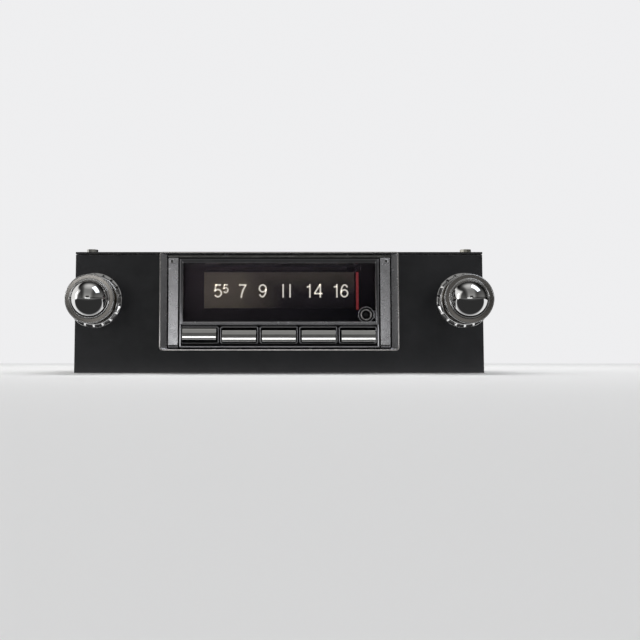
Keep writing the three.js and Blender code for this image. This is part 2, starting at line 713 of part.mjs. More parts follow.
function chassisCase() {
  const { halfWidth, depth, height, wall } = CASE;
  const shell = cut(
    block([-halfWidth, halfWidth], [0, depth], [0, height]),
    block([-halfWidth + wall, halfWidth - wall], [wall, depth - wall], [wall, height + 1]),
  );
  const front = [-1, wall + 1];
  const rear = [depth - wall - 1, depth + 1];
  const holes = [
    block([-50, 50], front, [AXIS_Z - 11, WINDOW.top + 0.4]),
    disc(-CONTROL_X, AXIS_Z, BUSHING.barrel + GAP, ...front),
    disc(CONTROL_X, AXIS_Z, BUSHING.barrel + GAP, ...front),
    disc(0, AXIS_Z, 3.4, ...rear, 12),
    disc(ANTENNA.x, ANTENNA.z, 5.1, ...rear),
    block([HARNESS.x - 11, HARNESS.x + 11], rear, [HARNESS.z - 5, HARNESS.z + 5]),
  ];
  BUTTON.lift.forEach((lift, index) => {
    const x = buttonX(index);
    const z = BUTTON.z + lift;
    holes.push(block([x - 3.6, x + 3.6], front, [z - 1.5, z + 1.5]));
  });
  const side = [-halfWidth - 1, halfWidth + 1];
  spread(5, 8).forEach((offset) => {
    const y = depth / 2 + 8 + offset;
    holes.push(block(side, [y - 1.25, y + 1.25], [26, 50]));
  });
  // Turned-in ears take the cover's screws.
  const ears = SCREWS.map(([x, y]) => {
    const across = [x - 7, x + 7].map((edge) => Math.max(-117.4, Math.min(117.4, edge)));
    const along = y < depth / 2 ? [0.6, y + 6] : [y - 6, depth - 0.6];
    return block(across, along, [height - 2.2, height - 0.8]);
  });
  const earHoles = SCREWS.map(([x, y]) => barZ(2, x, y, height - 4, height + 1, TINY_ROUND));
  // Posts for the two pulleys and the drive gear, and hangers for the pointer's rod.
  const posts = [
    disc(CORD.leftX, CORD.pulleyZ, 1.2, 0.6, CORD.y + 3, TINY_ROUND),
    disc(CORD.rightX, CORD.pulleyZ, 1.2, 0.6, CORD.y + 3, TINY_ROUND),
    disc(GEAR_X, GEAR_Z, 1.6, 0.6, 29, 12),
  ];
  const hangers = [CORD.leftX - 8, CORD.rightX + 8].map((x) => {
    const plate = block([x - 0.75, x + 0.75], [0.6, CORD.y + 3], [ROD_Z - 3, ROD_Z + 3]);
    return cut(plate, barX(1.6, x - 2, x + 2, CORD.y, ROD_Z, 12));
  });
  const whole = join(cut(shell, ...holes), ...posts, ...hangers, ...ears);
  return cut(whole, ...earHoles);
}

function topCover() {
  const { halfWidth, depth, height, wall } = CASE;
  const under = height + GAP;
  const inset = wall + GAP;
  const plate = block([-halfWidth, halfWidth], [0, depth], [under, COVER_TOP]);
  // Locating flanges just inside the long walls, clear of the ears.
  const flanges = [[inset, inset + 1], [depth - inset - 1, depth - inset]].map((along) =>
    block([-98, 98], along, [height - 3.5, under + 0.5]),
  );
  const through = [under - 1, COVER_TOP + 1];
  const vents = [-1, 1].flatMap((row) =>
    spread(8, 11).map((x) => {
      const y = depth / 2 + row * 17;
      return block([x - 1.6, x + 1.6], [y - 12, y + 12], through);
    }),
  );
  const screwHoles = SCREWS.map(([x, y]) => barZ(2, x, y, ...through, TINY_ROUND));
  return cut(join(plate, ...flanges), ...vents, ...screwHoles);
}

// A pan-head screw with a cross recess.
function coverScrew(x, y) {
  const head = barZ(3.3, x, y, COVER_TOP + GAP, COVER_TOP + GAP + 2, 12);
  const shank = barZ(1.5, x, y, CASE.height - 6, COVER_TOP + GAP + 1, TINY_ROUND);
  const recess = [COVER_TOP + 1.3, COVER_TOP + 3];
  const cross = [
    block([x - 1.7, x + 1.7], [y - 0.35, y + 0.35], recess),
    block([x - 0.35, x + 0.35], [y - 1.7, y + 1.7], recess),
  ];
  return cut(join(head, shank), ...cross);
}

// The board with what is soldered to it: transformer cans, capacitors and small transistors.
function circuitBoard() {
  const top = 8.6;
  const floor = CASE.wall + GAP;
  const sheet = block([-110, 100], [66, 112], [7, top]);
  const feet = [[-104, 70], [94, 70], [-104, 108], [94, 108]];
  const spacers = feet.map(([x, y]) => barZ(2.5, x, y, floor, 7.5, 6));
  const cans = [-70, -50, -30].map((x) => block([x, x + 10], [80, 90], [top - 0.5, 24]));
  const capacitors = [-88, 16, 34].map((x) => barZ(6.5, x, 98, top - 0.5, 34, 12));
  const transistors = [-12, 0, 54, 66].map((x) => barZ(2.6, x, 76, top - 0.5, 15, TINY_ROUND));
  const transformer = block([70, 92], [80, 104], [top - 0.5, 30]);
  return join(sheet, ...spacers, ...cans, ...capacitors, ...transistors, transformer);
}

// A finned plate on the rear wall, flat in the middle for the output transistor.
function heatSink() {
  const { x, halfWidth, bottom, top } = HEAT_SINK;
  const back = CASE.depth + GAP;
  const base = block([x - halfWidth, x + halfWidth], [back, back + 3], [bottom, top]);
  const offsets = [17, 22, 27, 32].flatMap((offset) => [-offset, offset]);
  const fins = offsets.map((offset) =>
    block([x + offset - 1, x + offset + 1], [back + 2, back + 13], [bottom, top]),
  );
  return join(base, ...fins);
}

// A can-type power transistor on its rhombic base, with a bolt head at each end.
function outputTransistor() {
  const y = CASE.depth + GAP + 3 + GAP;
  const middle = (HEAT_SINK.bottom + HEAT_SINK.top) / 2;
  const base = new THREE.Shape();
  base.absarc(HEAT_SINK.x, middle + 15, 4.5, 0.45, Math.PI - 0.45);
  base.absarc(HEAT_SINK.x, middle, 12.7, Math.PI - 0.5, Math.PI + 0.5);
  base.absarc(HEAT_SINK.x, middle - 15, 4.5, Math.PI + 0.45, 2 * Math.PI - 0.45);
  base.absarc(HEAT_SINK.x, middle, 12.7, -0.5, 0.5);
  base.closePath();
  const can = disc(HEAT_SINK.x, middle, 10, y + 1, y + 8.5, ROUND);
  const bolts = [-15, 15].map((offset) =>
    disc(HEAT_SINK.x, middle + offset, 3.2, y + 1, y + 4.2, 6),
  );
  return join(slab(base, y, y + 1.8), can, ...bolts);
}

function antennaSocket() {
  const back = CASE.depth + GAP;
  const { x, z, outer, bore } = ANTENNA;
  const profile = [
    [0, back - 5],
    [4.7, back - 5],
    [4.7, back],
    [outer + 3, back],
    [outer + 3, back + 1.5],
    [outer, back + 1.5],
    [outer, back + 12],
    [outer - 0.6, back + 12.6],
    [bore, back + 12.6],
    [bore, back - 1],
    [0, back - 1],
  ];
  return turned(profile, x, z, SMALL_ROUND);
}

// The socket for the power and loudspeaker harness: a shroud round five blades.
function harnessSocket() {
  const back = CASE.depth + GAP;
  const { x, z, halfWidth, halfHeight } = HARNESS;
  const shroud = roundedRect(x, z, halfWidth, halfHeight, 2);
  const inside = roundedRect(x, z, halfWidth - 2, halfHeight - 2, 1);
  const floor = back + 1.5;
  const plug = block([x - 10.7, x + 10.7], [back - 4, back + 1], [z - 4.7, z + 4.7]);
  const body = cut(slab(shroud, back, back + 12.5), slab(inside, floor, back + 14));
  const blades = spread(5, 4.2).map((offset) =>
    block([x + offset - 0.4, x + offset + 0.4], [floor - 0.5, floor + 4.5], [z - 2.2, z + 2.2]),
  );
  return join(body, plug, ...blades);
}

// The stud that a support strap bolts to: a flange, a hexagon and a plain shank.
function rearStud() {
  const back = CASE.depth + GAP;
  const flange = disc(0, AXIS_Z, 8, back, back + 1.5);
  const hexagon = disc(0, AXIS_Z, 6.4, back + 1, back + 5, 6);
  return join(flange, hexagon, disc(0, AXIS_Z, 3, back - 5, STUD_TIP, 12));
}

function buildChassis() {
  add("chassis_case", chassisCase(), CASE_PAINT);
  add("top_cover", topCover(), CASE_PAINT);
  SCREWS.forEach(([x, y], index) => add(`cover_screw_${index + 1}`, coverScrew(x, y), ZINC));
  add("circuit_board", circuitBoard(), BOARD);
  add("heat_sink", heatSink(), BLACK_ALLOY);
  add("output_transistor", outputTransistor(), ZINC);
  add("antenna_socket", antennaSocket(), ZINC);
  add("harness_socket", harnessSocket(), NYLON);
  add("rear_stud", rearStud(), ZINC);
}

buildNose();
buildPointer();
buildButtons();
buildControls();
buildTuner();
buildChassis();

export default radio;
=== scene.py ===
"""Looks for the push-button car radio: fine pieces, materials, lights and camera.

Lengths are in millimetres in the chassis frame: x from the centreline, y from the chassis's front
face (into the dash is positive), z from its floor. finish_mesh() carries them to the row frame.
"""

import math

import bmesh
import bpy
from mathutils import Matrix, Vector


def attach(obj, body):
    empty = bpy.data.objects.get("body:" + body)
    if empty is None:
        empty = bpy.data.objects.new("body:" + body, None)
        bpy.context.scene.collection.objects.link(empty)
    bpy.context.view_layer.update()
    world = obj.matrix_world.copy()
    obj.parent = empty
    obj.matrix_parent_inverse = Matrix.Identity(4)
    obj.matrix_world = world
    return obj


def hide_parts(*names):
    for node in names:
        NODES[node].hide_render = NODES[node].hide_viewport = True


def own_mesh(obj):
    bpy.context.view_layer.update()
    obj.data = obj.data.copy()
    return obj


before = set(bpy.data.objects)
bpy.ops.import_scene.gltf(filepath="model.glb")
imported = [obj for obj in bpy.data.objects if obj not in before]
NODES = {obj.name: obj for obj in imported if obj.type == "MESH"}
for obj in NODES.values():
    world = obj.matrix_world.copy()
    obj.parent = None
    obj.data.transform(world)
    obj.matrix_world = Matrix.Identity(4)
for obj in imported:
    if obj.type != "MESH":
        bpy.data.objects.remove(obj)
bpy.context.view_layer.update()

MM = 0.001
FRONT_FACE = -41.7  # the chassis's front face, along y in the row frame
AXIS_Z = 40.0  # the height of the two controls' axes
CONTROL_X = 101.0  # each control's distance from the centreline
NOSE_FRONT = -25.0  # the foremost depth of the trim frame and the nosepiece
GLASS_FRONT = -17.0  # the window's front
DIAL_FRONT = -11.6  # the dial film's front
PRESET_X = [-43.6, -21.8, 0.0, 21.8, 43.6]  # the button slides and their springs
PRESET_Z = [21.4, 20.5, 20.5, 20.5, 20.5]
FACE_PITCH = 21.66  # the caps and wells stand a little closer together than the slides
FACE_X = [PRESET_X[0] + FACE_PITCH * i for i in range(5)]
WELL_Z = 21.05
INDICATOR_X, INDICATOR_Z = 48.35, 32.55
BACKDROP = (0.86, 0.86, 0.87)


# ---- Mesh helpers ----


def finish_mesh(name, bm, body, material, sharp=32.0):
    """Turns a bmesh in the chassis frame into a piece that rides on a body."""
    bmesh.ops.remove_doubles(bm, verts=bm.verts, dist=1e-4)
    bmesh.ops.recalc_face_normals(bm, faces=bm.faces)
    for vert in bm.verts:
        vert.co = Vector((vert.co.x, vert.co.y + FRONT_FACE, vert.co.z)) * MM
    for face in bm.faces:
        face.smooth = True
    for edge in bm.edges:
        if len(edge.link_faces) == 2:
            edge.smooth = edge.calc_face_angle(0) < math.radians(sharp)
    mesh = bpy.data.meshes.new(name)
    bm.to_mesh(mesh)
    bm.free()
    mesh.materials.append(material)
    piece = bpy.data.objects.new(name, mesh)
    bpy.context.scene.collection.objects.link(piece)
    # Flats stay flat: the shading bends only over the small rounded faces between them.
    even = piece.modifiers.new("even_flats", "WEIGHTED_NORMAL")
    even.keep_sharp = True
    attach(piece, body)
    return piece


def fillet(points, radius, steps=4, closed=False):
    """Rounds the corners of a line of 2-D points with short curves."""
    made = []
    count = len(points)
    for index, corner in enumerate(points):
        if not closed and index in (0, count - 1):
            made.append(corner)
            continue
        before = Vector(points[index - 1])
        here = Vector(corner)
        after = Vector(points[(index + 1) % count])
        reach = min(radius, (before - here).length * 0.45, (after - here).length * 0.45)
        start = here + (before - here).normalized() * reach
        end = here + (after - here).normalized() * reach
        for step in range(steps + 1):
            t = step / steps
            point = start * (1 - t) ** 2 + here * 2 * t * (1 - t) + end * t * t
            made.append((point.x, point.y))
    return made


def arc(x, z, rx, rz, start, end, steps=20):
    """Points on an ellipse, from one angle to another in degrees."""
    angles = [math.radians(start + (end - start) * i / steps) for i in range(steps + 1)]
    return [(x + rx * math.cos(a), z + rz * math.sin(a)) for a in angles]


def bridge(bm, loops, closed=True):
    """Joins a run of equal loops of vertices with quads, and the last to the first if closed."""
    rings = [[bm.verts.new(co) for co in loop] for loop in loops]
    pairs = list(zip(rings, rings[1:]))
    if closed:
        pairs.append((rings[-1], rings[0]))
    count = len(rings[0])
    for first, second in pairs:
        for i in range(count):
            j = (i + 1) % count
            bm.faces.new((first[i], first[j], second[j], second[i]))


def lathe(profile, x, z, steps, wobble=None):
    """Turns a line of [radius, y] points about a line through (x, z) parallel to y.

    wobble(angle, row) moves a point in or out, for notches.
    """
    bm = bmesh.new()
    loops = []
    for row, (radius, y) in enumerate(profile):
        loop = []
        for step in range(steps):
            angle = 2 * math.pi * step / steps
            r = max(radius, 1e-3) + (wobble(angle, row) if wobble else 0)
            loop.append((x + r * math.sin(angle), y, z + r * math.cos(angle)))
        loops.append(loop)
    open_ended = profile[0][0] <= 1e-3 and profile[-1][0] <= 1e-3
    bridge(bm, loops, closed=not open_ended)
    return bm


def rect_loop(x0, x1, z0, z1, y, low=0.5, high=0.5, steps=6):
    """A round-cornered rectangle at one depth, with its own radius below and above."""
    low = max(low, 0.02)
    high = max(high, 0.02)
    points = arc(x1 - low, z0 + low, low, low, -90, 0, steps)
    points += arc(x1 - high, z1 - high, high, high, 0, 90, steps)
    points += arc(x0 + high, z1 - high, high, high, 90, 180, steps)
    points += arc(x0 + low, z0 + low, low, low, 180, 270, steps)
    return [(x, y, z) for x, z in points]


def framed(stations):
    """A frame swept through rectangles given as (x0, x1, z0, z1, y, low, high)."""
    bm = bmesh.new()
    bridge(bm, [rect_loop(*station) for station in stations])
    return bm


def add_prism(bm, outline, low, high, axis="y"):
    """Adds an outline thickened along y, given in (x, z), or along x, given in (y, z)."""

    def place(point, depth):
        if axis == "y":
            return (point[0], depth, point[1])
        return (depth, point[0], point[1])

    near = [bm.verts.new(place(p, low)) for p in outline]
    far = [bm.verts.new(place(p, high)) for p in outline]
    faces = [bm.faces.new(near), bm.faces.new(far)]
    for i in range(len(outline)):
        j = (i + 1) % len(outline)
        faces.append(bm.faces.new((near[i], near[j], far[j], far[i])))
    bmesh.ops.recalc_face_normals(bm, faces=faces)


def soften(bm, width, steps, angle=40.0):
    """Rounds every edge sharper than an angle."""
    bmesh.ops.recalc_face_normals(bm, faces=bm.faces)
    edges = [
        e
        for e in bm.edges
        if len(e.link_faces) == 2 and e.calc_face_angle(0) > math.radians(angle)
    ]
    bmesh.ops.bevel(
        bm,
        geom=edges,
        offset=width,
        segments=steps,
        profile=0.5,
        affect="EDGES",
        clamp_overlap=True,
    )
    return bm


def soft_block(xs, ys, zs, width, steps):
    """A block with rounded edges, from its low and high ends along each axis."""
    bm = bmesh.new()
    outline = [(xs[0], zs[0]), (xs[1], zs[0]), (xs[1], zs[1]), (xs[0], zs[1])]
    add_prism(bm, outline, ys[0], ys[1])
    return soften(bm, width, steps)


# ---- Materials ----


class Paint:
    """A Principled material with its nodes at hand."""

    def __init__(self, name, color, metallic, roughness, **settings):
        self.material = bpy.data.materials.new(name)
        self.material.use_nodes = True
        self.tree = self.material.node_tree
        self.shader = self.tree.nodes["Principled BSDF"]
        self.set("Base Color", (*color, 1.0))
        self.set("Metallic", metallic)
        self.set("Roughness", roughness)
        for socket, value in settings.items():
            self.set(socket.replace("_", " "), value)
        self.place = self.add("ShaderNodeTexCoord").outputs["Object"]

    def set(self, socket, value):
        self.shader.inputs[socket].default_value = value

    def add(self, kind, **inputs):
        node = self.tree.nodes.new(kind)
        for socket, value in inputs.items():
            target = node.inputs[socket.replace("_", " ")]
            if isinstance(value, bpy.types.NodeSocket):
                self.tree.links.new(value, target)
            else:
                target.default_value = value
        return node

    def link(self, output, socket):
        self.tree.links.new(output, self.shader.inputs[socket])

    def noise(self, scale, detail=4.0, roughness=0.55, stretch=None):
        """Noise with grains of about 1/scale metres, longer along an axis if stretched."""
        place = self.place
        if stretch:
            place = self.add("ShaderNodeMapping", Vector=place, Scale=stretch).outputs[0]
        return self.add(
            "ShaderNodeTexNoise", Vector=place, Scale=scale, Detail=detail, Roughness=roughness
        ).outputs[0]

    def ranged(self, value, low, high, start=0.3, end=0.7):
        """Carries start to low and end to high. The defaults are about the span of a noise."""
        node = self.add("ShaderNodeMapRange", Value=value)
        node.inputs["From Min"].default_value = start
        node.inputs["From Max"].default_value = end
        node.inputs["To Min"].default_value = low
        node.inputs["To Max"].default_value = high
        return node.outputs[0]

    def rough(self, value, low, high):
        """Varies the roughness with a value from 0 to 1."""
        self.link(self.ranged(value, low, high), "Roughness")

    def tint(self, value, first, second):
        """Varies the colour between two with a value from 0 to 1."""
        mix = self.add("ShaderNodeMix")
        mix.data_type = "RGBA"
        mix.inputs[6].default_value = (*first, 1.0)
        mix.inputs[7].default_value = (*second, 1.0)
        self.tree.links.new(value, mix.inputs[0])
        self.link(mix.outputs[2], "Base Color")
        return mix

    def bump(self, value, height, distance=0.0001):
        node = self.add("ShaderNodeBump", Height=value, Strength=height, Distance=distance)
        self.link(node.outputs[0], "Normal")


def plated(name, color, low, high, grain, height):
    """Chrome plate: even colour, faint smears in the shine, and a very fine skin."""
    paint = Paint(name, color, 1.0, low)
    paint.rough(paint.noise(240, 5.0, 0.6), low, high)
    dark = tuple(c * 0.95 for c in color)
    paint.tint(paint.ranged(paint.noise(90, 6.0, 0.7), 0.0, 1.0, 0.42, 0.75), color, dark)
    paint.bump(paint.noise(grain, 3.0), 1.0, height)
    return paint.material


def edge_mask(paint, radius):
    """1 along edges and corners, 0 on the flats, broken up by noise."""
    bevel = paint.add("ShaderNodeBevel", Radius=radius)
    bevel.samples = 3
    flat = paint.add("ShaderNodeNewGeometry").outputs["Normal"]
    dot = paint.add("ShaderNodeVectorMath")
    dot.operation = "DOT_PRODUCT"
    paint.tree.links.new(bevel.outputs[0], dot.inputs[0])
    paint.tree.links.new(flat, dot.inputs[1])
    edge = paint.ranged(dot.outputs["Value"], 1.0, 0.0, 0.85, 0.985)
    chips = paint.ranged(paint.noise(700, 6.0, 0.75), 0.0, 1.0, 0.47, 0.6)
    both = paint.add("ShaderNodeMath")
    both.operation = "MULTIPLY"
    paint.tree.links.new(edge, both.inputs[0])
    paint.tree.links.new(chips, both.inputs[1])
    return both.outputs[0]


def enamel(name):
    """Satin black enamel on sheet steel, worn to the metal at its edges."""
    paint = Paint(name, (0.022, 0.023, 0.027), 0.0, 0.42, Coat_Weight=0.15, Coat_Roughness=0.3)
    worn = edge_mask(paint, 0.0007)
    cloudy = paint.noise(38, 6.0, 0.65)
    body = paint.add("ShaderNodeMix")
    body.data_type = "RGBA"
    body.inputs[6].default_value = (0.018, 0.019, 0.022, 1)
    body.inputs[7].default_value = (0.036, 0.037, 0.041, 1)
    paint.tree.links.new(paint.ranged(cloudy, 0.0, 1.0), body.inputs[0])
    mix = paint.add("ShaderNodeMix")
    mix.data_type = "RGBA"
    mix.inputs[7].default_value = (0.34, 0.33, 0.31, 1)
    paint.tree.links.new(body.outputs[2], mix.inputs[6])
    paint.tree.links.new(worn, mix.inputs[0])
    paint.link(mix.outputs[2], "Base Color")
    paint.link(worn, "Metallic")
    paint.rough(paint.noise(120, 6.0, 0.7), 0.34, 0.56)
    paint.bump(paint.noise(1500, 3.0, 0.6), 0.35, 0.00006)
    return paint.material


def zinc(name, color=(0.60, 0.60, 0.57)):
    """Zinc-plated steel with a faint straw and blue passivation."""
    paint = Paint(name, color, 1.0, 0.34)
    straw = (color[0], color[1] * 0.93, color[2] * 0.74)
    paint.tint(paint.ranged(paint.noise(75, 5.0, 0.6), 0.0, 1.0, 0.4, 0.72), color, straw)
    paint.rough(paint.noise(420, 5.0, 0.7), 0.24, 0.46)
    paint.bump(paint.noise(900, 4.0, 0.6, (1.0, 5.0, 5.0)), 0.25, 0.00005)
    return paint.material


def moulded(name, color, roughness, grain=1400, height=0.3, **settings):
    """Moulded plastic with a fine grain and slightly uneven gloss."""
    paint = Paint(name, color, 0.0, roughness, **settings)
    lighter = tuple(min(1.0, c * 1.25 + 0.004) for c in color)
    paint.tint(paint.ranged(paint.noise(60, 5.0, 0.6), 0.0, 1.0), color, lighter)
    paint.rough(paint.noise(200, 5.0, 0.65), roughness * 0.85, roughness * 1.2)
    paint.bump(paint.noise(grain, 3.0), height, 0.00005)
    return paint.material


def print_with_painted_glow(name, color, strength):
    """Translucent print on the dial, with a painted glow: emission that keeps it bright behind the
    smoked pane.
    """
    paint = Paint(name, color, 0.0, 0.55, Emission_Color=(*color, 1.0), Emission_Strength=strength)
    worn = tuple(c * 0.9 for c in color)
    paint.tint(paint.ranged(paint.noise(900, 4.0, 0.7), 0.0, 1.0), color, worn)
    return paint.material


def film_with_painted_shade(name):
    """Brown film behind the numerals, with painted shade that deepens it to blue-black towards its
    lower right corner.
    """
    paint = Paint(name, (0.35, 0.30, 0.22), 0.0, 0.5)
    # Painted shade: the film is lightest to the left and along the top, and darkest at the lower
    # right.
    split = paint.add("ShaderNodeSeparateXYZ", Vector=paint.place)
    across = paint.ranged(split.outputs["X"], 1.0, 0.06, -0.024, 0.002)
    lift = paint.ranged(split.outputs["Z"], 0.0, 0.62, 0.043, 0.058)
    blend = paint.add("ShaderNodeMath", Value=across)
    blend.operation = "MAXIMUM"
    paint.tree.links.new(lift, blend.inputs[1])
    cloudy = paint.ranged(paint.noise(120, 4.0, 0.6), 0.85, 1.1)
    share = paint.add("ShaderNodeMath", Value=blend.outputs[0])
    share.operation = "MULTIPLY"
    paint.tree.links.new(cloudy, share.inputs[1])
    paint.tint(share.outputs[0], (0.012, 0.012, 0.022), (0.85, 0.74, 0.56))
    return paint.material


def smoked(name):
    """Smoked acrylic: glossy, dark and partly clear, with a painted sheen that lightens it towards
    its upper left.
    """
    paint = Paint(name, (0.010, 0.009, 0.012), 0.0, 0.04, IOR=1.62, Alpha=0.38)
    paint.rough(paint.noise(500, 6.0, 0.75), 0.025, 0.09)
    # Painted sheen: the pane's colour lightens from near black to a warm grey towards its upper
    # left.
    split = paint.add("ShaderNodeSeparateXYZ", Vector=paint.place)
    across = paint.ranged(split.outputs["X"], 0.62, 0.0, -0.050, 0.045)
    lift = paint.ranged(split.outputs["Z"], -0.15, 0.45, 0.028, 0.060)
    painted_sheen = paint.add("ShaderNodeMath", Value=across)
    paint.tree.links.new(lift, painted_sheen.inputs[1])
    mix = paint.tint(painted_sheen.outputs[0], (0.003, 0.003, 0.012), (0.10, 0.078, 0.095))
    dust = paint.add("ShaderNodeMix")
    dust.data_type = "RGBA"
    dust.inputs[7].default_value = (0.55, 0.52, 0.48, 1.0)
    paint.tree.links.new(mix.outputs[2], dust.inputs[6])
    specks = paint.add("ShaderNodeTexVoronoi", Vector=paint.place, Scale=330.0)
    near = paint.ranged(specks.outputs["Distance"], 0.8, 0.0, 0.045, 0.085)
    paint.tree.links.new(near, dust.inputs[0])
    paint.link(dust.outputs[2], "Base Color")
    return paint.material


POLISHED = plated("polished_chrome", (0.86, 0.86, 0.86), 0.025, 0.05, 900, 1.2e-6)
LIP_CHROME = plated("lip_chrome", (0.70, 0.68, 0.67), 0.16, 0.24, 1500, 4e-6)
# The brim's chrome is dimmed and warmed to a taupe grey: a painted reflection of a dim warm room.
BRIM_PAINTED_REFLECTION = plated("brim_plate_painted_reflection", (0.44, 0.42, 0.395), 0.15, 0.19, 1500, 8e-7)
BUTTON_CHROME = plated("button_chrome", (0.90, 0.90, 0.88), 0.06, 0.11, 600, 7e-6)
# The nose chrome is a darkened copy of chrome: painted shade for the dark surroundings that the
# hood, skirt and well rims mirror.
NOSE_PAINTED_SHADE = plated("nose_plate_painted_shade", (0.40, 0.40, 0.42), 0.09, 0.15, 1300, 5e-6)
# A darkened copy of chrome, painted shade for the top rail and the floors of the eyes.
CHROME_PAINTED_SHADE = plated("darkened_chrome_painted_shade", (0.40, 0.40, 0.39), 0.12, 0.22, 1500, 4e-6)
# Near-black standing in for the shade in the grooves and the recess between the wells: painted
# shade.
PAINTED_SHADE_BLACK = moulded("painted_shade_black", (0.007, 0.007, 0.008), 0.6, Specular_IOR_Level=0.15)
SATIN = plated("satin_chrome", (0.80, 0.80, 0.83), 0.20, 0.29, 1100, 8e-6)
ENAMEL = enamel("case_enamel")
ZINC = zinc("zinc_plate")
BLACK = moulded("black_plate", (0.006, 0.006, 0.007), 0.42, height=0.06)
PANEL_PAINTED_SHADE = film_with_painted_shade("dial_film")
# The numerals and the red needle glow with painted light, so that they stay bright behind the
# smoked pane.
PRINT = print_with_painted_glow("dial_print", (0.86, 0.82, 0.74), 1.7)
NEEDLE = print_with_painted_glow("needle_red", (0.48, 0.06, 0.065), 0.7)
SMOKED = smoked("smoked_window")


# ---- Trim frame and nosepiece ----


def build_bezel():
    """The trim frame: a polished outer lip, then a satin sloping band, pilasters and top rail."""
    left, right, low, high = -65.8, 65.8, AXIS_Z - 27.4, AXIS_Z + 26.9
    front, back = NOSE_FRONT, NOSE_FRONT + 3.7

    # Each row: distance in from the side, the top and the bottom, then the depth.
    lip = [
        (0.0, 0.0, 0.0, back),
        (0.0, 0.0, 0.0, front + 0.3),
        (0.03, 0.03, 0.03, front + 0.13),
        (0.12, 0.12, 0.1, front + 0.03),
        (0.24, 0.24, 0.2, front),
        (0.62, 0.6, 0.62, front + 0.01),
        (0.73, 0.7, 0.7, front + 0.07),
        (0.8, 0.76, 0.77, front + 0.22),
        (0.84, 0.79, 0.8, front + 0.6),
        (0.84, 0.79, 0.8, back),
    ]
    band = [
        (0.7, 0.65, 0.65, back),
        (0.7, 0.65, 0.65, front + 0.52),
        (0.86, 0.8, 0.76, front + 0.55),
        (3.75, 1.5, 0.84, front + 1.75),
        (3.95, 1.6, 0.88, front + 1.9),
        (4.05, 1.68, 0.92, front + 2.2),
        (4.05, 1.7, 0.92, back),
    ]
    # The floor that the pilasters and the rail stand on, black as painted shade in the grooves
    # beside them.
    floor = [
        (4.0, 1.65, 0.9, back),
        (4.0, 1.65, 0.9, front + 2.8),
        (10.75, 3.65, 1.5, front + 2.8),
        (10.75, 3.65, 1.5, back),
    ]
    for name, profile, material in (
        ("lip", lip, LIP_CHROME),
        ("band", band, SATIN),
        ("floor", floor, PAINTED_SHADE_BLACK),
    ):
        stations = []
        for side, top, bottom, y in profile:
            lower, upper = max(2.4 - bottom, 0.1), max(1.4 - top, 0.1)
            stations.append((left + side, right - side, low + bottom, high - top, y, lower, upper))
        finish_mesh(f"bezel_{name}", framed(stations), "chassis", material)

    # Pilasters, in (y, z), between the band and the nosepiece.
    bottom, top = AXIS_Z - 26.1, AXIS_Z + 25.0
    pilaster_inner, pilaster_outer = 55.45, 60.95
    eye_x, eye_z, eye_y, eye_half = 59.0, AXIS_Z + 21.6, front + 0.4, 0.77
    outline = [
        (front + 2.9, bottom),
        (front + 2.2, bottom),
        (front + 0.75, bottom + 1.0),
        (front + 0.42, bottom + 1.6),
        (front + 0.4, top - 1.75),
        (front + 0.75, top - 1.35),
        (front + 2.9, top - 1.35),
    ]
    for side, name in ((-1, "left"), (1, "right")):
        lo, hi = sorted((side * pilaster_inner, side * pilaster_outer))
        bm = bmesh.new()
        add_prism(bm, outline, lo, hi, "x")
        soften(bm, 0.3, 4, 20)
        finish_mesh(f"bezel_pilaster_{name}", bm, "chassis", SATIN)
        # A small square eye near the head of the pilaster: a raised edge round a floor in darkened
        # chrome, painted shade in the dimple.
        # Each entry: half width, depth, corner radius.
        x, y, z = side * eye_x, eye_y, eye_z
        edge = [
            (0.75, y + 0.2, 0.1),
            (0.78, y - 0.06, 0.1),
            (0.88, y - 0.16, 0.15),
            (1.05, y - 0.16, 0.2),
            (1.22, y - 0.04, 0.25),
            (1.28, y + 0.2, 0.3),
        ]
        ring = [(x - r, x + r, z - r, z + r, depth, c, c) for r, depth, c in edge]
        finish_mesh(f"bezel_eye_{name}", framed(ring), "chassis", SATIN)
        across, up = (x - eye_half, x + eye_half), (z - eye_half, z + eye_half)
        bm = soft_block(across, (y - 0.03, y + 0.2), up, 0.02, 1)
        finish_mesh(f"bezel_eye_floor_{name}", bm, "chassis", CHROME_PAINTED_SHADE)

    # The top rail is in the darkened chrome: painted shade.
    rail_half, rail_foot = 61.3, AXIS_Z + 23.75
    bm = soft_block((-rail_half, rail_half), (front + 0.5, front + 2.9), (rail_foot, top), 0.3, 4)
    rail = finish_mesh("bezel_rail", bm, "chassis", CHROME_PAINTED_SHADE)
    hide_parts("bezel_frame")


def plate_with_holes(outline, holes, low, high):
    """A flat plate with holes, thickened along y."""
    bm = bmesh.new()
    edges = []
    for loop in [outline, *holes]:
        verts = [bm.verts.new((x, low, z)) for x, z in loop]
        edges += [bm.edges.new((verts[i - 1], verts[i])) for i in range(len(verts))]
    filled = bmesh.ops.triangle_fill(bm, use_beauty=True, use_dissolve=False, edges=edges)
    faces = [g for g in filled["geom"] if isinstance(g, bmesh.types.BMFace)]
    grown = bmesh.ops.extrude_face_region(bm, geom=faces, use_keep_orig=True)
    moved = [g for g in grown["geom"] if isinstance(g, bmesh.types.BMVert)]
    bmesh.ops.translate(bm, verts=moved, vec=(0, high - low, 0))
    return bm


def flat_rect(x0, x1, z0, z1, r):
    """A round-cornered rectangle in (x, z)."""
    return [(x, z) for x, _, z in rect_loop(x0, x1, z0, z1, 0, r, r)]


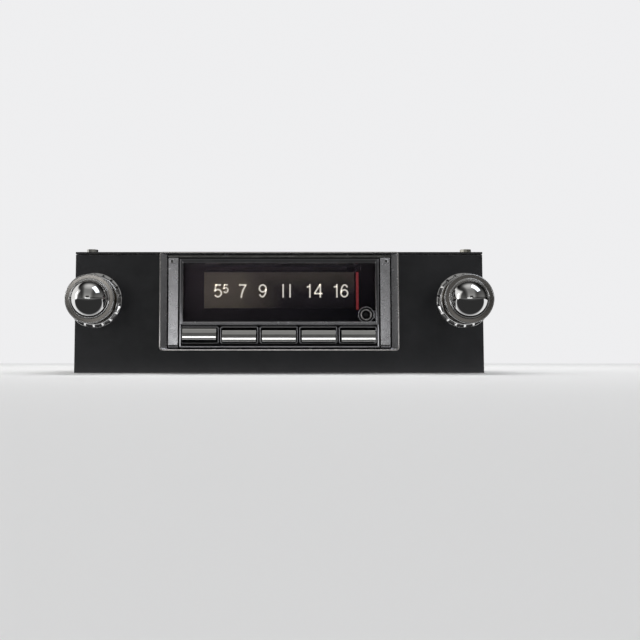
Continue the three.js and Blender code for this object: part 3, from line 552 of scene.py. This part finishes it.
def build_nosepiece():
    """The plated hood round the window, the strip under it, and the panel of rimmed wells."""
    half, high, low = 54.9, AXIS_Z + 23.1, AXIS_Z - 25.9
    seam = AXIS_Z - 13.6
    front, glass, back = NOSE_FRONT, GLASS_FRONT, -0.35

    # Each row: distance in from the side, the top and the bottom, then the depth.
    hood = [
        (0.0, 0.0, 0.0, back),
        (0.0, 0.0, 0.0, front + 0.5),
        (0.06, 0.06, 0.08, front + 0.25),
        (0.2, 0.2, 0.24, front + 0.08),
        (0.45, 0.4, 0.48, front),
        (1.8, 2.25, 0.85, front),
        (1.98, 2.35, 1.2, front + 0.05),
        (2.1, 2.41, 1.55, front + 0.2),
        (2.18, 2.45, 1.78, front + 0.45),
        (2.2, 2.46, 1.85, front + 0.8),
        (2.2, 2.46, 1.85, glass + 0.05),
        (1.3, 1.0, 0.95, glass + 0.05),
        (1.3, 1.0, 0.95, back),
    ]
    stations = [(-half + s, half - s, seam + b, high - t, y, 0.15, 0.3) for s, t, b, y in hood]
    finish_mesh("nose_hood", framed(stations), "chassis", NOSE_PAINTED_SHADE, 28)
    # A fine bright bead edges the ledge under the window.
    bead_half, bead_radius = 52.6, 0.34
    bead = arc(front + 0.42, seam + 1.62, bead_radius, bead_radius, 0, 360, 24)[:-1]
    bm = bmesh.new()
    add_prism(bm, bead, -bead_half, bead_half, "x")
    finish_mesh("nose_ledge_bead", bm, "chassis", SATIN)

    skirt = [
        (0.0, -0.5, 0.0, back),
        (0.0, -0.5, 0.0, front + 0.5),
        (0.06, -0.5, 0.06, front + 0.25),
        (0.2, -0.5, 0.2, front + 0.08),
        (0.45, -0.49, 0.38, front + 0.01),
        (0.95, -0.48, 0.92, front + 0.06),
        (1.16, -0.47, 1.02, front + 0.16),
        (1.27, -0.46, 1.08, front + 0.4),
        (1.3, -0.45, 1.1, front + 0.8),
        (1.3, -0.45, 1.1, front + 3.5),
        (1.35, -0.44, 1.15, back),
    ]
    stations = [(-half + s, half - s, low + b, seam - t, y, 0.3, 0.05) for s, t, b, y in skirt]
    finish_mesh("nose_skirt", framed(stations), "chassis", NOSE_PAINTED_SHADE, 28)

    # The panel, with a hole for each button, black as painted shade between the wells.
    wide, tall = 9.9, 4.2
    outline = flat_rect(-half + 1.2, half - 1.2, low + 1.0, seam + 0.1, 0.3)
    holes = [flat_rect(c - wide, c + wide, WELL_Z - tall, WELL_Z + tall, 0.9) for c in FACE_X]
    bm = plate_with_holes(outline, holes, front + 1.4, front + 3.4)
    panel = finish_mesh("nose_panel", bm, "chassis", PAINTED_SHADE_BLACK, 28)

    # The rounded rim of each well: distance in from its outer edge, depth, corner radius.
    rim = [
        (0.92, front + 3.3, 0.7),
        (0.9, front + 0.95, 0.7),
        (0.84, front + 0.68, 0.75),
        (0.68, front + 0.48, 0.85),
        (0.48, front + 0.4, 0.95),
        (0.28, front + 0.44, 1.05),
        (0.1, front + 0.6, 1.15),
        (0.0, front + 0.9, 1.2),
        (0.0, front + 1.6, 1.2),
        (0.3, front + 3.3, 1.0),
    ]
    wide, tall = 10.6, 4.9
    foot, head = WELL_Z - tall, WELL_Z + tall
    for index, x in enumerate(FACE_X):
        stations = [
            (x - wide + i, x + wide - i, foot + i, head - i, y, r, r) for i, y, r in rim
        ]
        finish_mesh(f"well_rim_{index + 1}", framed(stations), "chassis", NOSE_PAINTED_SHADE)
    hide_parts("nosepiece")


def build_window():
    """The smoked pane, with a hole for the indicator's barrel, and the indicator."""
    x, z, glass = INDICATOR_X, INDICATOR_Z, GLASS_FRONT
    half, bore = 53.3, 3.6
    outline = flat_rect(-half, half, AXIS_Z - 12.35, AXIS_Z + 21.8, 0.4)
    hole = arc(x, z, bore, bore, 0, 360, 48)[:-1]
    bm = plate_with_holes(outline, [hole], glass + 0.1, glass + 2.5)
    pane = finish_mesh("dial_pane", bm, "chassis", SMOKED)
    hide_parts("dial_window")

    # The ring's three parts, each a closed line of (radius, depth behind the glass's front).
    seat = [
        (2.3, 3.1),
        (2.3, -0.55),
        (2.5, -0.7),
        (4.3, -0.7),
        (4.45, -0.05),
        (3.4, -0.05),
        (3.4, 3.1),
    ]
    inner = [(2.2, -0.5), (2.22, -1.15), (2.5, -1.5), (2.85, -1.5), (3.2, -1.2), (3.3, -0.5)]
    outer = [
        (4.0, -0.5),
        (4.02, -1.3),
        (4.25, -1.6),
        (4.45, -1.55),
        (4.6, -1.25),
        (4.6, -0.05),
        (4.2, -0.05),
    ]
    for name, section, material in (
        ("seat", seat, BLACK),
        ("inner_bead", inner, LIP_CHROME),
        ("outer_bead", outer, SATIN),
    ):
        profile = fillet([(r, glass + y) for r, y in section], 0.12, 3, closed=True)
        ring = finish_mesh(f"indicator_{name}", lathe(profile, x, z, 72), "chassis", material)
    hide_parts("indicator_ring")
    # The lens is a plug with a shallow domed front.
    bowl = [(2.15, 0.9), (2.08, 0.62), (1.86, 0.36), (1.52, 0.17), (1.08, 0.05), (0.55, 0.01)]
    profile = [(0, glass + 3.0), (2.15, glass + 3.0)]
    profile += [(r, glass - 0.35 + depth) for r, depth in bowl] + [(0, glass - 0.35)]
    lens = finish_mesh("indicator_dome", lathe(profile, x, z, 48), "chassis", BLACK)
    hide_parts("indicator_lens")


# ---- Dial print ----


def stroke(bm, points, width, y):
    """A flat ribbon along a line of (x, z) points, standing just off the dial."""
    thick = 0.12
    line = [Vector(p) for p in points]
    left, right = [], []
    for i, here in enumerate(line):
        before = line[max(i - 1, 0)]
        after = line[min(i + 1, len(line) - 1)]
        along = (after - before).normalized()
        across = Vector((-along.y, along.x)) * (width / 2)
        left.append(here + across)
        right.append(here - across)
    outline = [(p.x, p.y) for p in left + right[::-1]]
    front = [bm.verts.new((px, y - thick, pz)) for px, pz in outline]
    back = [bm.verts.new((px, y, pz)) for px, pz in outline]
    count = len(line)
    total = 2 * count
    for i in range(count - 1):
        j = total - 1 - i
        bm.faces.new((front[i], front[i + 1], front[j - 1], front[j]))
        bm.faces.new((back[i], back[i + 1], back[j - 1], back[j]))
    for i in range(total):
        j = (i + 1) % total
        bm.faces.new((front[i], front[j], back[j], back[i]))


def glyph(kind):
    """The strokes of a numeral in a box 4.6 wide and 7.4 high, as lists of (x, z) points."""
    if kind == "5":
        bowl = arc(2.3, 2.45, 1.85, 2.0, 142, -148, 30)
        return [[(4.0, 6.92), (1.0, 6.92)], [(1.25, 7.35), (0.62, 3.3)], bowl]
    if kind == "7":
        leg = [(3.95, 6.6), (3.3, 5.6), (2.6, 4.3), (2.05, 2.8), (1.7, 1.4), (1.55, 0.0)]
        return [[(0.35, 6.92), (4.3, 6.92)], leg]
    if kind in "69":
        ring = arc(2.3, 5.05, 1.8, 1.88, 0, 360, 40)
        tail = arc(2.1, 4.6, 2.0, 4.15, 0, -100, 24) + [(1.05, 0.95), (0.7, 1.75)]
        strokes = [ring, tail]
        if kind == "6":
            strokes = [[(4.6 - x, 7.4 - z) for x, z in line] for line in strokes]
        return strokes
    if kind == "4":
        return [
            [(3.45, 7.3), (0.35, 2.35)],
            [(0.15, 2.2), (4.7, 2.2)],
            [(3.5, 7.4), (3.5, 0.0)],
        ]
    if kind == "1":
        return [[(2.6, 7.4), (2.6, 0.0)], [(2.5, 6.2), (0.9, 5.75)]]
    return [[(2.3, 7.4), (2.3, 0.0)]]


def build_dial():
    """The numerals printed on the dial panel, and the needle in front of it."""
    y = DIAL_FRONT - 0.05
    low, height = AXIS_Z + 2.6, 7.62
    scale = height / 7.4
    line_width, small_line_width = 0.8, 0.62
    # Each entry: numeral, centre, height factor, lift.
    marks = [
        ("5", -34.6, 1.0, 0.0),
        ("5", -30.2, 0.66, 2.55),
        ("7", -20.6, 1.0, 0.0),
        ("9", -9.3, 1.0, 0.0),
        ("I", 2.25, 1.0, 0.0),
        ("I", 6.15, 1.0, 0.0),
        ("1", 17.05, 1.0, 0.0),
        ("4", 22.0, 1.0, 0.0),
        ("1", 32.3, 1.0, 0.0),
        ("6", 36.8, 1.0, 0.0),
    ]
    for index, (kind, centre, factor, lift) in enumerate(marks):
        size = scale * factor
        bm = bmesh.new()
        for line in glyph(kind):
            placed = [(centre + (x - 2.3) * size, low + lift + z * size) for x, z in line]
            stroke(bm, placed, line_width if factor == 1.0 else small_line_width, y)
        finish_mesh(f"dial_mark_{index + 1}", bm, "chassis", PRINT)

    bm = bmesh.new()
    left, right, foot, head = 43.3, 44.68, AXIS_Z - 4.3, AXIS_Z + 16.9
    outline = [(left, foot), (right, foot), (right, head), (left, head)]
    needle_front, needle_back = -13.25, -12.75
    add_prism(bm, outline, needle_front, needle_back)
    soften(bm, 0.15, 2)
    needle = finish_mesh("needle_blade", bm, "pointer", NEEDLE)
    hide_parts("pointer_needle")


# ---- Preset buttons ----


def build_buttons():
    """Plated caps: a sloping upper face, and a full upright nose below it."""
    half = 9.2
    # The cap's side, as a closed line of (depth, height from its middle).
    face = [
        (-18.1, -3.15),
        (-18.1, 3.15),
        (-26.8, 3.15),
        (-27.28, 3.04),
        (-27.5, 2.82),
        (-28.38, 1.0),
        (-28.41, 0.88),
        (-28.53, -0.25),
        (-28.58, -0.7),
        (-28.6, -0.95),
        (-28.6, -2.15),
        (-28.5, -2.5),
        (-28.2, -2.82),
        (-27.7, -3.08),
        (-27.1, -3.15),
    ]
    for index, (centre, z) in enumerate(zip(FACE_X, PRESET_Z)):
        outline = fillet([(y, z + dz) for y, dz in face], 0.12, 3, closed=True)
        bm = bmesh.new()
        add_prism(bm, outline, centre - half, centre + half, "x")
        soften(bm, 0.5, 4, 60)
        cap = finish_mesh(f"preset_cap_{index + 1}", bm, f"preset_{index + 1}", BUTTON_CHROME)
        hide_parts(f"preset_button_{index + 1}")


def build_springs():
    """Return springs: round wire, open coils, and a closed flat coil at each end."""
    radius, wire, turns, sides, per_turn = 4.3, 0.45, 6, 10, 30
    start, end, flat = 22.25, 39.25, 1.0
    pitches = [flat] + [(end - start - 2 * flat) / (turns - 2)] * (turns - 2) + [flat]
    for index, (centre, z) in enumerate(zip(PRESET_X, PRESET_Z)):
        bm = bmesh.new()
        rings, y = [], start
        for step in range(turns * per_turn + 1):
            angle = 2 * math.pi * step / per_turn
            ring = []
            for side in range(sides):
                around = 2 * math.pi * side / sides
                reach = radius + wire * math.cos(around)
                place = (
                    centre + reach * math.cos(angle),
                    y + wire * math.sin(around),
                    z + reach * math.sin(angle),
                )
                ring.append(bm.verts.new(place))
            rings.append(ring)
            y += pitches[min(step // per_turn, turns - 1)] / per_turn
        for first, second in zip(rings, rings[1:]):
            for i in range(sides):
                j = (i + 1) % sides
                bm.faces.new((first[i], first[j], second[j], second[i]))
        bm.faces.new(rings[0])
        bm.faces.new(rings[-1])
        spring = finish_mesh(f"preset_spring_{index + 1}", bm, "chassis", ZINC)
        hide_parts(f"button_spring_{index + 1}")
        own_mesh(spring)


# ---- Dual controls ----


def build_knob(x, body, node):
    """The front knob: a satin flared brim round a polished dome."""
    base, foot, flank, tip = -39.4, 10.3, 10.9, 9.2
    # Every profile here is a line of (radius, depth).
    brim = fillet(
        [
            (0.0, -32.0),
            (9.9, -32.0),
            (10.4, -32.4),
            (10.7, -35.6),
            (12.5, -38.0),
            (13.0, -38.5),
            (13.0, -39.3),
            (12.7, -39.5),
            (10.5, -39.34),
        ],
        0.3,
        5,
    )
    profile = brim + [(0.0, -39.2)]
    # The brim's dim taupe chrome is a painted reflection.
    shell = finish_mesh(f"{node}_brim", lathe(profile, x, AXIS_Z, 128), body, BRIM_PAINTED_REFLECTION, 40)
    # The dome is the cap of an ellipsoid a little wider than its foot.
    rows = 32
    start = math.acos(foot / flank)
    rise = tip / (1.0 - math.sin(start))
    angles = [start + (math.pi / 2 - start) * i / rows for i in range(rows)]
    crown = [(flank * math.cos(a), base - rise * (math.sin(a) - math.sin(start))) for a in angles]
    profile = [(0.0, base + 0.3), (foot, base + 0.3)] + crown + [(0.0, base - tip)]
    finish_mesh(f"{node}_dome", lathe(profile, x, AXIS_Z, 128), body, POLISHED, 40)
    # Two polished beads edge the brim: one at the dome's foot, one round the outside.
    inner = [
        (10.1, -39.1),
        (10.15, -39.7),
        (10.4, -39.85),
        (10.75, -39.75),
        (10.9, -39.55),
        (10.95, -39.1),
    ]
    edge = [
        (12.55, -39.2),
        (12.6, -39.58),
        (12.85, -39.7),
        (13.1, -39.6),
        (13.25, -39.3),
        (13.2, -38.6),
        (12.6, -38.6),
    ]
    for name, section in (("foot_bead", inner), ("edge_bead", edge)):
        profile = fillet(section, 0.15, 3, closed=True)
        finish_mesh(f"{node}_{name}", lathe(profile, x, AXIS_Z, 128), body, POLISHED, 50)
    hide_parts(node)


def build_ring(x, body, node):
    """The notched ring: two rails joined by ribs between eighteen pockets, and a dished front."""
    pockets, floor = 18, 13.0
    # Where the shoulder and the pocket start, as shares of the way from one rib to the next.
    shoulder_start, pocket_start = 0.14, 0.19
    steps = pockets * 20
    shelf = [
        (4.4, -28.2),
        (4.4, -25.1),
        (14.6, -25.05),
        (15.02, -25.25),
        (15.1, -25.7),
        (15.1, -26.2),
        (14.98, -26.5),
        (14.7, -26.62),
    ]
    ribs = [(14.66, -26.64), (14.4, -27.1), (13.75, -28.3), (13.48, -28.7)]
    rail = [
        (13.46, -28.72),
        (13.4, -29.05),
        (13.2, -29.3),
        (12.95, -29.4),
        (12.6, -29.4),
        (12.2, -29.2),
        (12.0, -28.3),
    ]
    dish = [(11.5, -28.15), (6.5, -28.1)]
    profile = shelf + ribs + rail + dish
    cut_rows = {len(shelf) + i: profile[len(shelf) + i][0] for i in range(len(ribs))}

    def notch(angle, row):
        """Drops to the pocket's floor between ribs, with rounded shoulders."""
        if row not in cut_rows:
            return 0.0
        share = (angle * pockets / (2 * math.pi)) % 1.0
        drop = 0.0
        if pocket_start < share < 1.0 - pocket_start:
            drop = 1.0
        elif shoulder_start < share < 1.0 - shoulder_start:
            drop = 0.25
        return (floor - cut_rows[row]) * drop

    bm = lathe(profile, x, AXIS_Z, steps, notch)
    ring = finish_mesh(f"{node}_shell", bm, body, POLISHED, 30)
    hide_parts(node)


def build_bushing(x, side):
    """A threaded barrel with the shoulder that the dash is clamped against."""
    bore, barrel, shoulder = 4.3, 5.5, 9.0
    pitch, thread_depth = 0.8, 0.32

    def thread(start, end):
        points = []
        y = start
        while y < end - pitch:
            points += [(barrel, y + pitch * 0.1), (barrel - thread_depth, y + pitch * 0.5)]
            y += pitch
        return points

    profile = [(bore, 1.4), (bore, -24.5), (barrel - 0.5, -24.55)]
    profile += thread(-24.3, -18.6)
    profile += fillet(
        [(barrel - 0.2, -18.45), (shoulder, -18.5), (shoulder, -15.5), (barrel, -15.5)], 0.3, 3
    )
    profile += thread(-15.3, -0.4)
    profile += [(barrel, 0.2), (barrel, 1.4)]
    bushing = finish_mesh(f"{side}_bushing_turned", lathe(profile, x, AXIS_Z, 72), "chassis", ZINC)
    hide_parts(f"{side}_bushing")


def build_nut(x, side):
    """The hexagonal nut, chamfered at its corners."""
    corner, bore, front, back = 8.0, 5.6, -23.8, -21.0
    angles = [math.radians(60 * i) for i in range(6)]
    corners = [(x + corner * math.sin(a), AXIS_Z + corner * math.cos(a)) for a in angles]
    hole = arc(x, AXIS_Z, bore, bore, 0, 360, 48)[:-1]
    bm = plate_with_holes(corners, [hole], front, back)
    soften(bm, 0.3, 2, 35)
    nut = finish_mesh(f"{side}_nut_hex", bm, "chassis", ZINC)
    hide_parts(f"{side}_nut")


def build_controls():
    """Both dual controls, each with its knob, ring, bushing and nut."""
    for side, x, knob, ring in (
        ("left", -CONTROL_X, "volume", "tone"),
        ("right", CONTROL_X, "tuning", "fader"),
    ):
        build_knob(x, knob, f"{knob}_knob")
        build_ring(x, ring, f"{ring}_ring")
        build_bushing(x, side)
        build_nut(x, side)


# ---- Carried-over nodes ----


def dress(material, width, *names):
    """Gives CAD nodes their material, with softened edges."""
    for name in names:
        node = NODES[name]
        node.data.materials.clear()
        node.data.materials.append(material)
        weld = node.modifiers.new("weld", "WELD")
        weld.merge_threshold = 1e-6
        if width:
            bevel = node.modifiers.new("soft_edges", "BEVEL")
            bevel.width = width * MM
            bevel.segments = 2
            bevel.limit_method = "ANGLE"
            bevel.angle_limit = math.radians(35)
            bevel.harden_normals = True


def dress_nodes():
    """Materials for the CAD nodes that no finer piece replaces."""
    brass = zinc("turned_brass", (0.62, 0.46, 0.20))
    dress(ENAMEL, 0.35, "chassis_case")
    dress(ENAMEL, 0.0, "top_cover")
    screws = [f"cover_screw_{i}" for i in range(1, 5)]
    slides = [f"button_slide_{i}" for i in range(1, 6)]
    dress(ZINC, 0.15, *screws, *slides, "rear_stud", "slide_guide", "core_rack")
    dress(ZINC, 0.0, "guide_rod", "volume_shaft", "tuning_shaft")
    dress(zinc("transistor_can", (0.55, 0.55, 0.56)), 0.25, "output_transistor", "antenna_socket")
    dress(brass, 0.0, "tone_shaft", "fader_shaft", "drive_gear", "lamp_socket")
    dress(BLACK, 0.1, "dial_plate", "pointer_slider")
    dress(PANEL_PAINTED_SHADE, 0.0, "dial_panel")
    alloy = moulded("anodised_alloy", (0.014, 0.014, 0.016), 0.42, 900, 0.4, Metallic=0.6)
    dress(alloy, 0.2, "heat_sink")
    dress(moulded("nylon", (0.62, 0.58, 0.47), 0.4), 0.2, "harness_socket")
    wheel = moulded("nylon_wheel", (0.66, 0.63, 0.54), 0.42)
    dress(wheel, 0.0, "cord_pulley_left", "cord_pulley_right")
    phenolic = moulded("phenolic", (0.055, 0.022, 0.010), 0.3)
    dress(phenolic, 0.2, "volume_control", "fader_control", "coil_block")
    dress(moulded("phenolic_board", (0.26, 0.15, 0.06), 0.5), 0.15, "circuit_board")
    dress(moulded("waxed_cord", (0.10, 0.07, 0.045), 0.8, 4000, 0.8), 0.0, "dial_cord")
    bulb = Paint("bulb_glass", (0.9, 0.88, 0.8), 0.0, 0.06, Alpha=0.4)
    bulb.rough(bulb.noise(700), 0.04, 0.1)
    dress(bulb.material, 0.0, "dial_lamp")


# ---- Stage ----

def build_floor():
    """A pale floor that melts into the backdrop away from the set."""
    reach = 6
    bm = bmesh.new()
    for co in ((-reach, -reach, 0), (reach, -reach, 0), (reach, reach, 0), (-reach, reach, 0)):
        bm.verts.new(co)
    bm.faces.new(bm.verts)
    mesh = bpy.data.meshes.new("floor")
    bm.to_mesh(mesh)
    bm.free()
    floor = bpy.data.objects.new("floor", mesh)
    bpy.context.scene.collection.objects.link(floor)
    paper = Paint("floor_paper", (0.82, 0.82, 0.82), 0.0, 0.8)
    paper.bump(paper.noise(300), 0.05)
    # In reflections the floor is lit beneath the set and dark in front of it. Further out in
    # front it is lit again, most of all near the middle.
    split = paper.add("ShaderNodeSeparateXYZ", Vector=paper.place)
    beyond = paper.ranged(split.outputs["Y"], 0.36, 0.0, -0.80, -0.20)
    beneath = paper.ranged(split.outputs["Y"], 0.03, 0.9, -0.074, -0.060)
    aside = paper.add("ShaderNodeMath", Value=split.outputs["X"])
    aside.operation = "ABSOLUTE"
    central = paper.add("ShaderNodeMath", Value=beyond)
    central.operation = "MULTIPLY"
    paper.tree.links.new(paper.ranged(aside.outputs[0], 1.0, 0.35, 0.08, 0.26), central.inputs[1])
    both = paper.add("ShaderNodeMath", Value=central.outputs[0])
    paper.tree.links.new(beneath, both.inputs[1])
    mirrored = paper.add("ShaderNodeEmission", Strength=both.outputs[0])
    seen = paper.add("ShaderNodeLightPath")
    mix = paper.add("ShaderNodeMixShader", Fac=seen.outputs["Is Glossy Ray"])
    paper.tree.links.new(paper.shader.outputs[0], mix.inputs[1])
    paper.tree.links.new(mirrored.outputs[0], mix.inputs[2])
    # The camera sees the backdrop's colour from 1.6 m out, and a blend of it from 0.35 m.
    far = paper.add("ShaderNodeVectorMath")
    far.operation = "LENGTH"
    paper.tree.links.new(paper.place, far.inputs[0])
    backdrop = paper.add("ShaderNodeEmission", Color=(*BACKDROP, 1.0))
    away = paper.ranged(far.outputs["Value"], 0.0, 1.0, 0.35, 1.6)
    melt = paper.add("ShaderNodeMath", Value=away)
    melt.operation = "MULTIPLY"
    paper.tree.links.new(seen.outputs["Is Camera Ray"], melt.inputs[1])
    blend = paper.add("ShaderNodeMixShader", Fac=melt.outputs[0])
    paper.tree.links.new(mix.outputs[0], blend.inputs[1])
    paper.tree.links.new(backdrop.outputs[0], blend.inputs[2])
    surface = paper.tree.nodes["Material Output"].inputs["Surface"]
    paper.tree.links.new(blend.outputs[0], surface)
    mesh.materials.append(paper.material)


def build_world():
    """A dim soft room for the polished pieces to mirror, and a pale backdrop for the camera."""
    world = bpy.data.worlds.new("studio")
    bpy.context.scene.world = world
    world.use_nodes = True
    tree = world.node_tree

    def ramp(value, stops):
        """A grey level that changes with a value, through stops of (value, level)."""
        node = tree.nodes.new("ShaderNodeValToRGB")
        tree.links.new(value, node.inputs[0])
        elements = node.color_ramp.elements
        while len(elements) < len(stops):
            elements.new(0.5)
        for element, (place, level) in zip(elements, stops):
            element.position = place
            element.color = (level, level, level * 1.03, 1)
        return node.outputs[0]

    def ranged(value, start, end, low=0.0, high=1.0):
        """Carries start to low and end to high, with soft ends."""
        node = tree.nodes.new("ShaderNodeMapRange")
        node.interpolation_type = "SMOOTHSTEP"
        tree.links.new(value, node.inputs["Value"])
        limits = {"From Min": start, "From Max": end, "To Min": low, "To Max": high}
        for socket, number in limits.items():
            node.inputs[socket].default_value = number
        return node.outputs[0]

    def maths(operation, first, second=None):
        node = tree.nodes.new("ShaderNodeMath")
        node.operation = operation
        tree.links.new(first, node.inputs[0])
        if second is not None:
            tree.links.new(second, node.inputs[1])
        return node.outputs[0]

    room = tree.nodes["Background"]
    coord = tree.nodes.new("ShaderNodeTexCoord")
    split = tree.nodes.new("ShaderNodeSeparateXYZ")
    tree.links.new(coord.outputs["Generated"], split.inputs[0])
    # The direction looked in: x to the right, y into the dash, z up.
    across, away, up = split.outputs
    # Brightness by height, from straight down at 0 through the horizon at 0.5 to straight up.
    lift = tree.nodes.new("ShaderNodeMapRange")
    lift.inputs["From Min"].default_value = -1.0
    tree.links.new(up, lift.inputs["Value"])
    heights = [
        (0.0, 0.10),
        (0.5, 0.40),
        (0.58, 0.40),
        (0.67, 0.30),
        (0.82, 0.22),
        (0.93, 0.22),
        (0.98, 0.45),
        (1.0, 0.6),
    ]
    height = ramp(lift.outputs[0], heights)
    # Then by the distance to either side, and darker behind the set.
    aside = maths("ABSOLUTE", across)
    side = ramp(aside, [(0.0, 1.0), (0.3, 1.0), (0.48, 0.42), (0.62, 0.24), (1.0, 0.45)])
    behind = ranged(away, 0.0, 0.4, 1.0, 0.12)
    # A dark card round the camera, which the glass and the polished fronts mirror.
    card = maths("MULTIPLY", ranged(aside, 0.23, 0.15), ranged(up, 0.34, 0.20))
    card = maths("MULTIPLY", card, ranged(up, 0.0, 0.02))
    card = maths("MULTIPLY", card, ranged(away, -0.5, -0.8))
    shade = ranged(card, 0.0, 1.0, 1.0, 0.13)
    # Low on the right, and far out on the left, the room is dimmer.
    low_right = maths("MULTIPLY", ranged(across, 0.03, 0.14), ranged(up, 0.20, 0.04))
    shade = maths("MULTIPLY", shade, ranged(low_right, 0.0, 1.0, 1.0, 0.4))
    shade = maths("MULTIPLY", shade, ranged(across, -0.35, -0.60, 1.0, 0.6))
    level = maths("MULTIPLY", maths("MULTIPLY", height, side), maths("MULTIPLY", behind, shade))
    # Daylight from the left, which edges the knobs.
    left = maths("MULTIPLY", ranged(across, -0.25, -0.55), ranged(away, -0.45, -0.15))
    belt = maths("MULTIPLY", ranged(up, 0.75, 0.55), ranged(up, -0.3, -0.1))
    left = maths("MULTIPLY", left, belt)
    level = maths("ADD", level, ranged(left, 0.0, 1.0, 0.0, 0.8))
    tree.links.new(level, room.inputs["Strength"])
    room.inputs["Color"].default_value = (1.0, 0.99, 0.97, 1)
    pale = tree.nodes.new("ShaderNodeBackground")
    pale.inputs["Color"].default_value = (*BACKDROP, 1)
    seen = tree.nodes.new("ShaderNodeLightPath")
    mix = tree.nodes.new("ShaderNodeMixShader")
    tree.links.new(seen.outputs["Is Camera Ray"], mix.inputs[0])
    tree.links.new(room.outputs[0], mix.inputs[1])
    tree.links.new(pale.outputs[0], mix.inputs[2])
    tree.links.new(mix.outputs[0], tree.nodes["World Output"].inputs["Surface"])


def softbox(name, place, target, width, height, watts, color=(1, 1, 1)):
    """A rectangular light aimed at a target. The camera doesn't see it."""
    data = bpy.data.lights.new(name, "AREA")
    data.shape = "RECTANGLE"
    data.size, data.size_y = width, height
    data.energy = watts
    data.color = color
    lamp = bpy.data.objects.new(name, data)
    lamp.location = place
    aim = Vector(target) - Vector(place)
    lamp.rotation_euler = aim.to_track_quat("-Z", "Y").to_euler()
    lamp.visible_camera = False
    bpy.context.scene.collection.objects.link(lamp)
    return lamp


def build_lights():
    """Four softboxes. One of area A and radiance L needs about L x A x pi watts."""
    overhead = softbox("overhead", (0.0, 0.45, 1.15), (0, 0.0, 0.03), 1.3, 0.8, 16.0)
    overhead.visible_glossy = False
    cool = (0.90, 0.94, 1)
    softbox("window", (0.58, -0.28, 0.92), (0, -0.05, 0.04), 0.48, 0.80, 1.9, cool)
    softbox("side", (-0.90, -0.16, 0.20), (0, -0.06, 0.04), 0.10, 0.55, 0.45)
    softbox("strip", (-0.092, -0.90, 0.030), (-0.092, -0.07, 0.030), 0.52, 0.058, 0.13)


def build_camera():
    """The camera, low in front of the set and tilted up a little."""
    tilt = 4.0
    data = bpy.data.cameras.new("camera")
    data.lens = 47.0
    data.sensor_width = 36.0
    data.shift_x = 0.0703
    data.shift_y = -0.0288
    data.clip_start = 0.01
    camera = bpy.data.objects.new("camera", data)
    camera.location = (-0.00235, -0.5237, 0.00745)
    camera.rotation_euler = (math.radians(90.0 + tilt), 0, 0)
    bpy.context.scene.collection.objects.link(camera)
    bpy.context.scene.camera = camera
    bpy.context.scene.view_settings.view_transform = "Standard"


build_floor()
build_world()
build_lights()
build_camera()
build_bezel()
build_nosepiece()
build_window()
build_dial()
build_buttons()
build_springs()
build_controls()
dress_nodes()
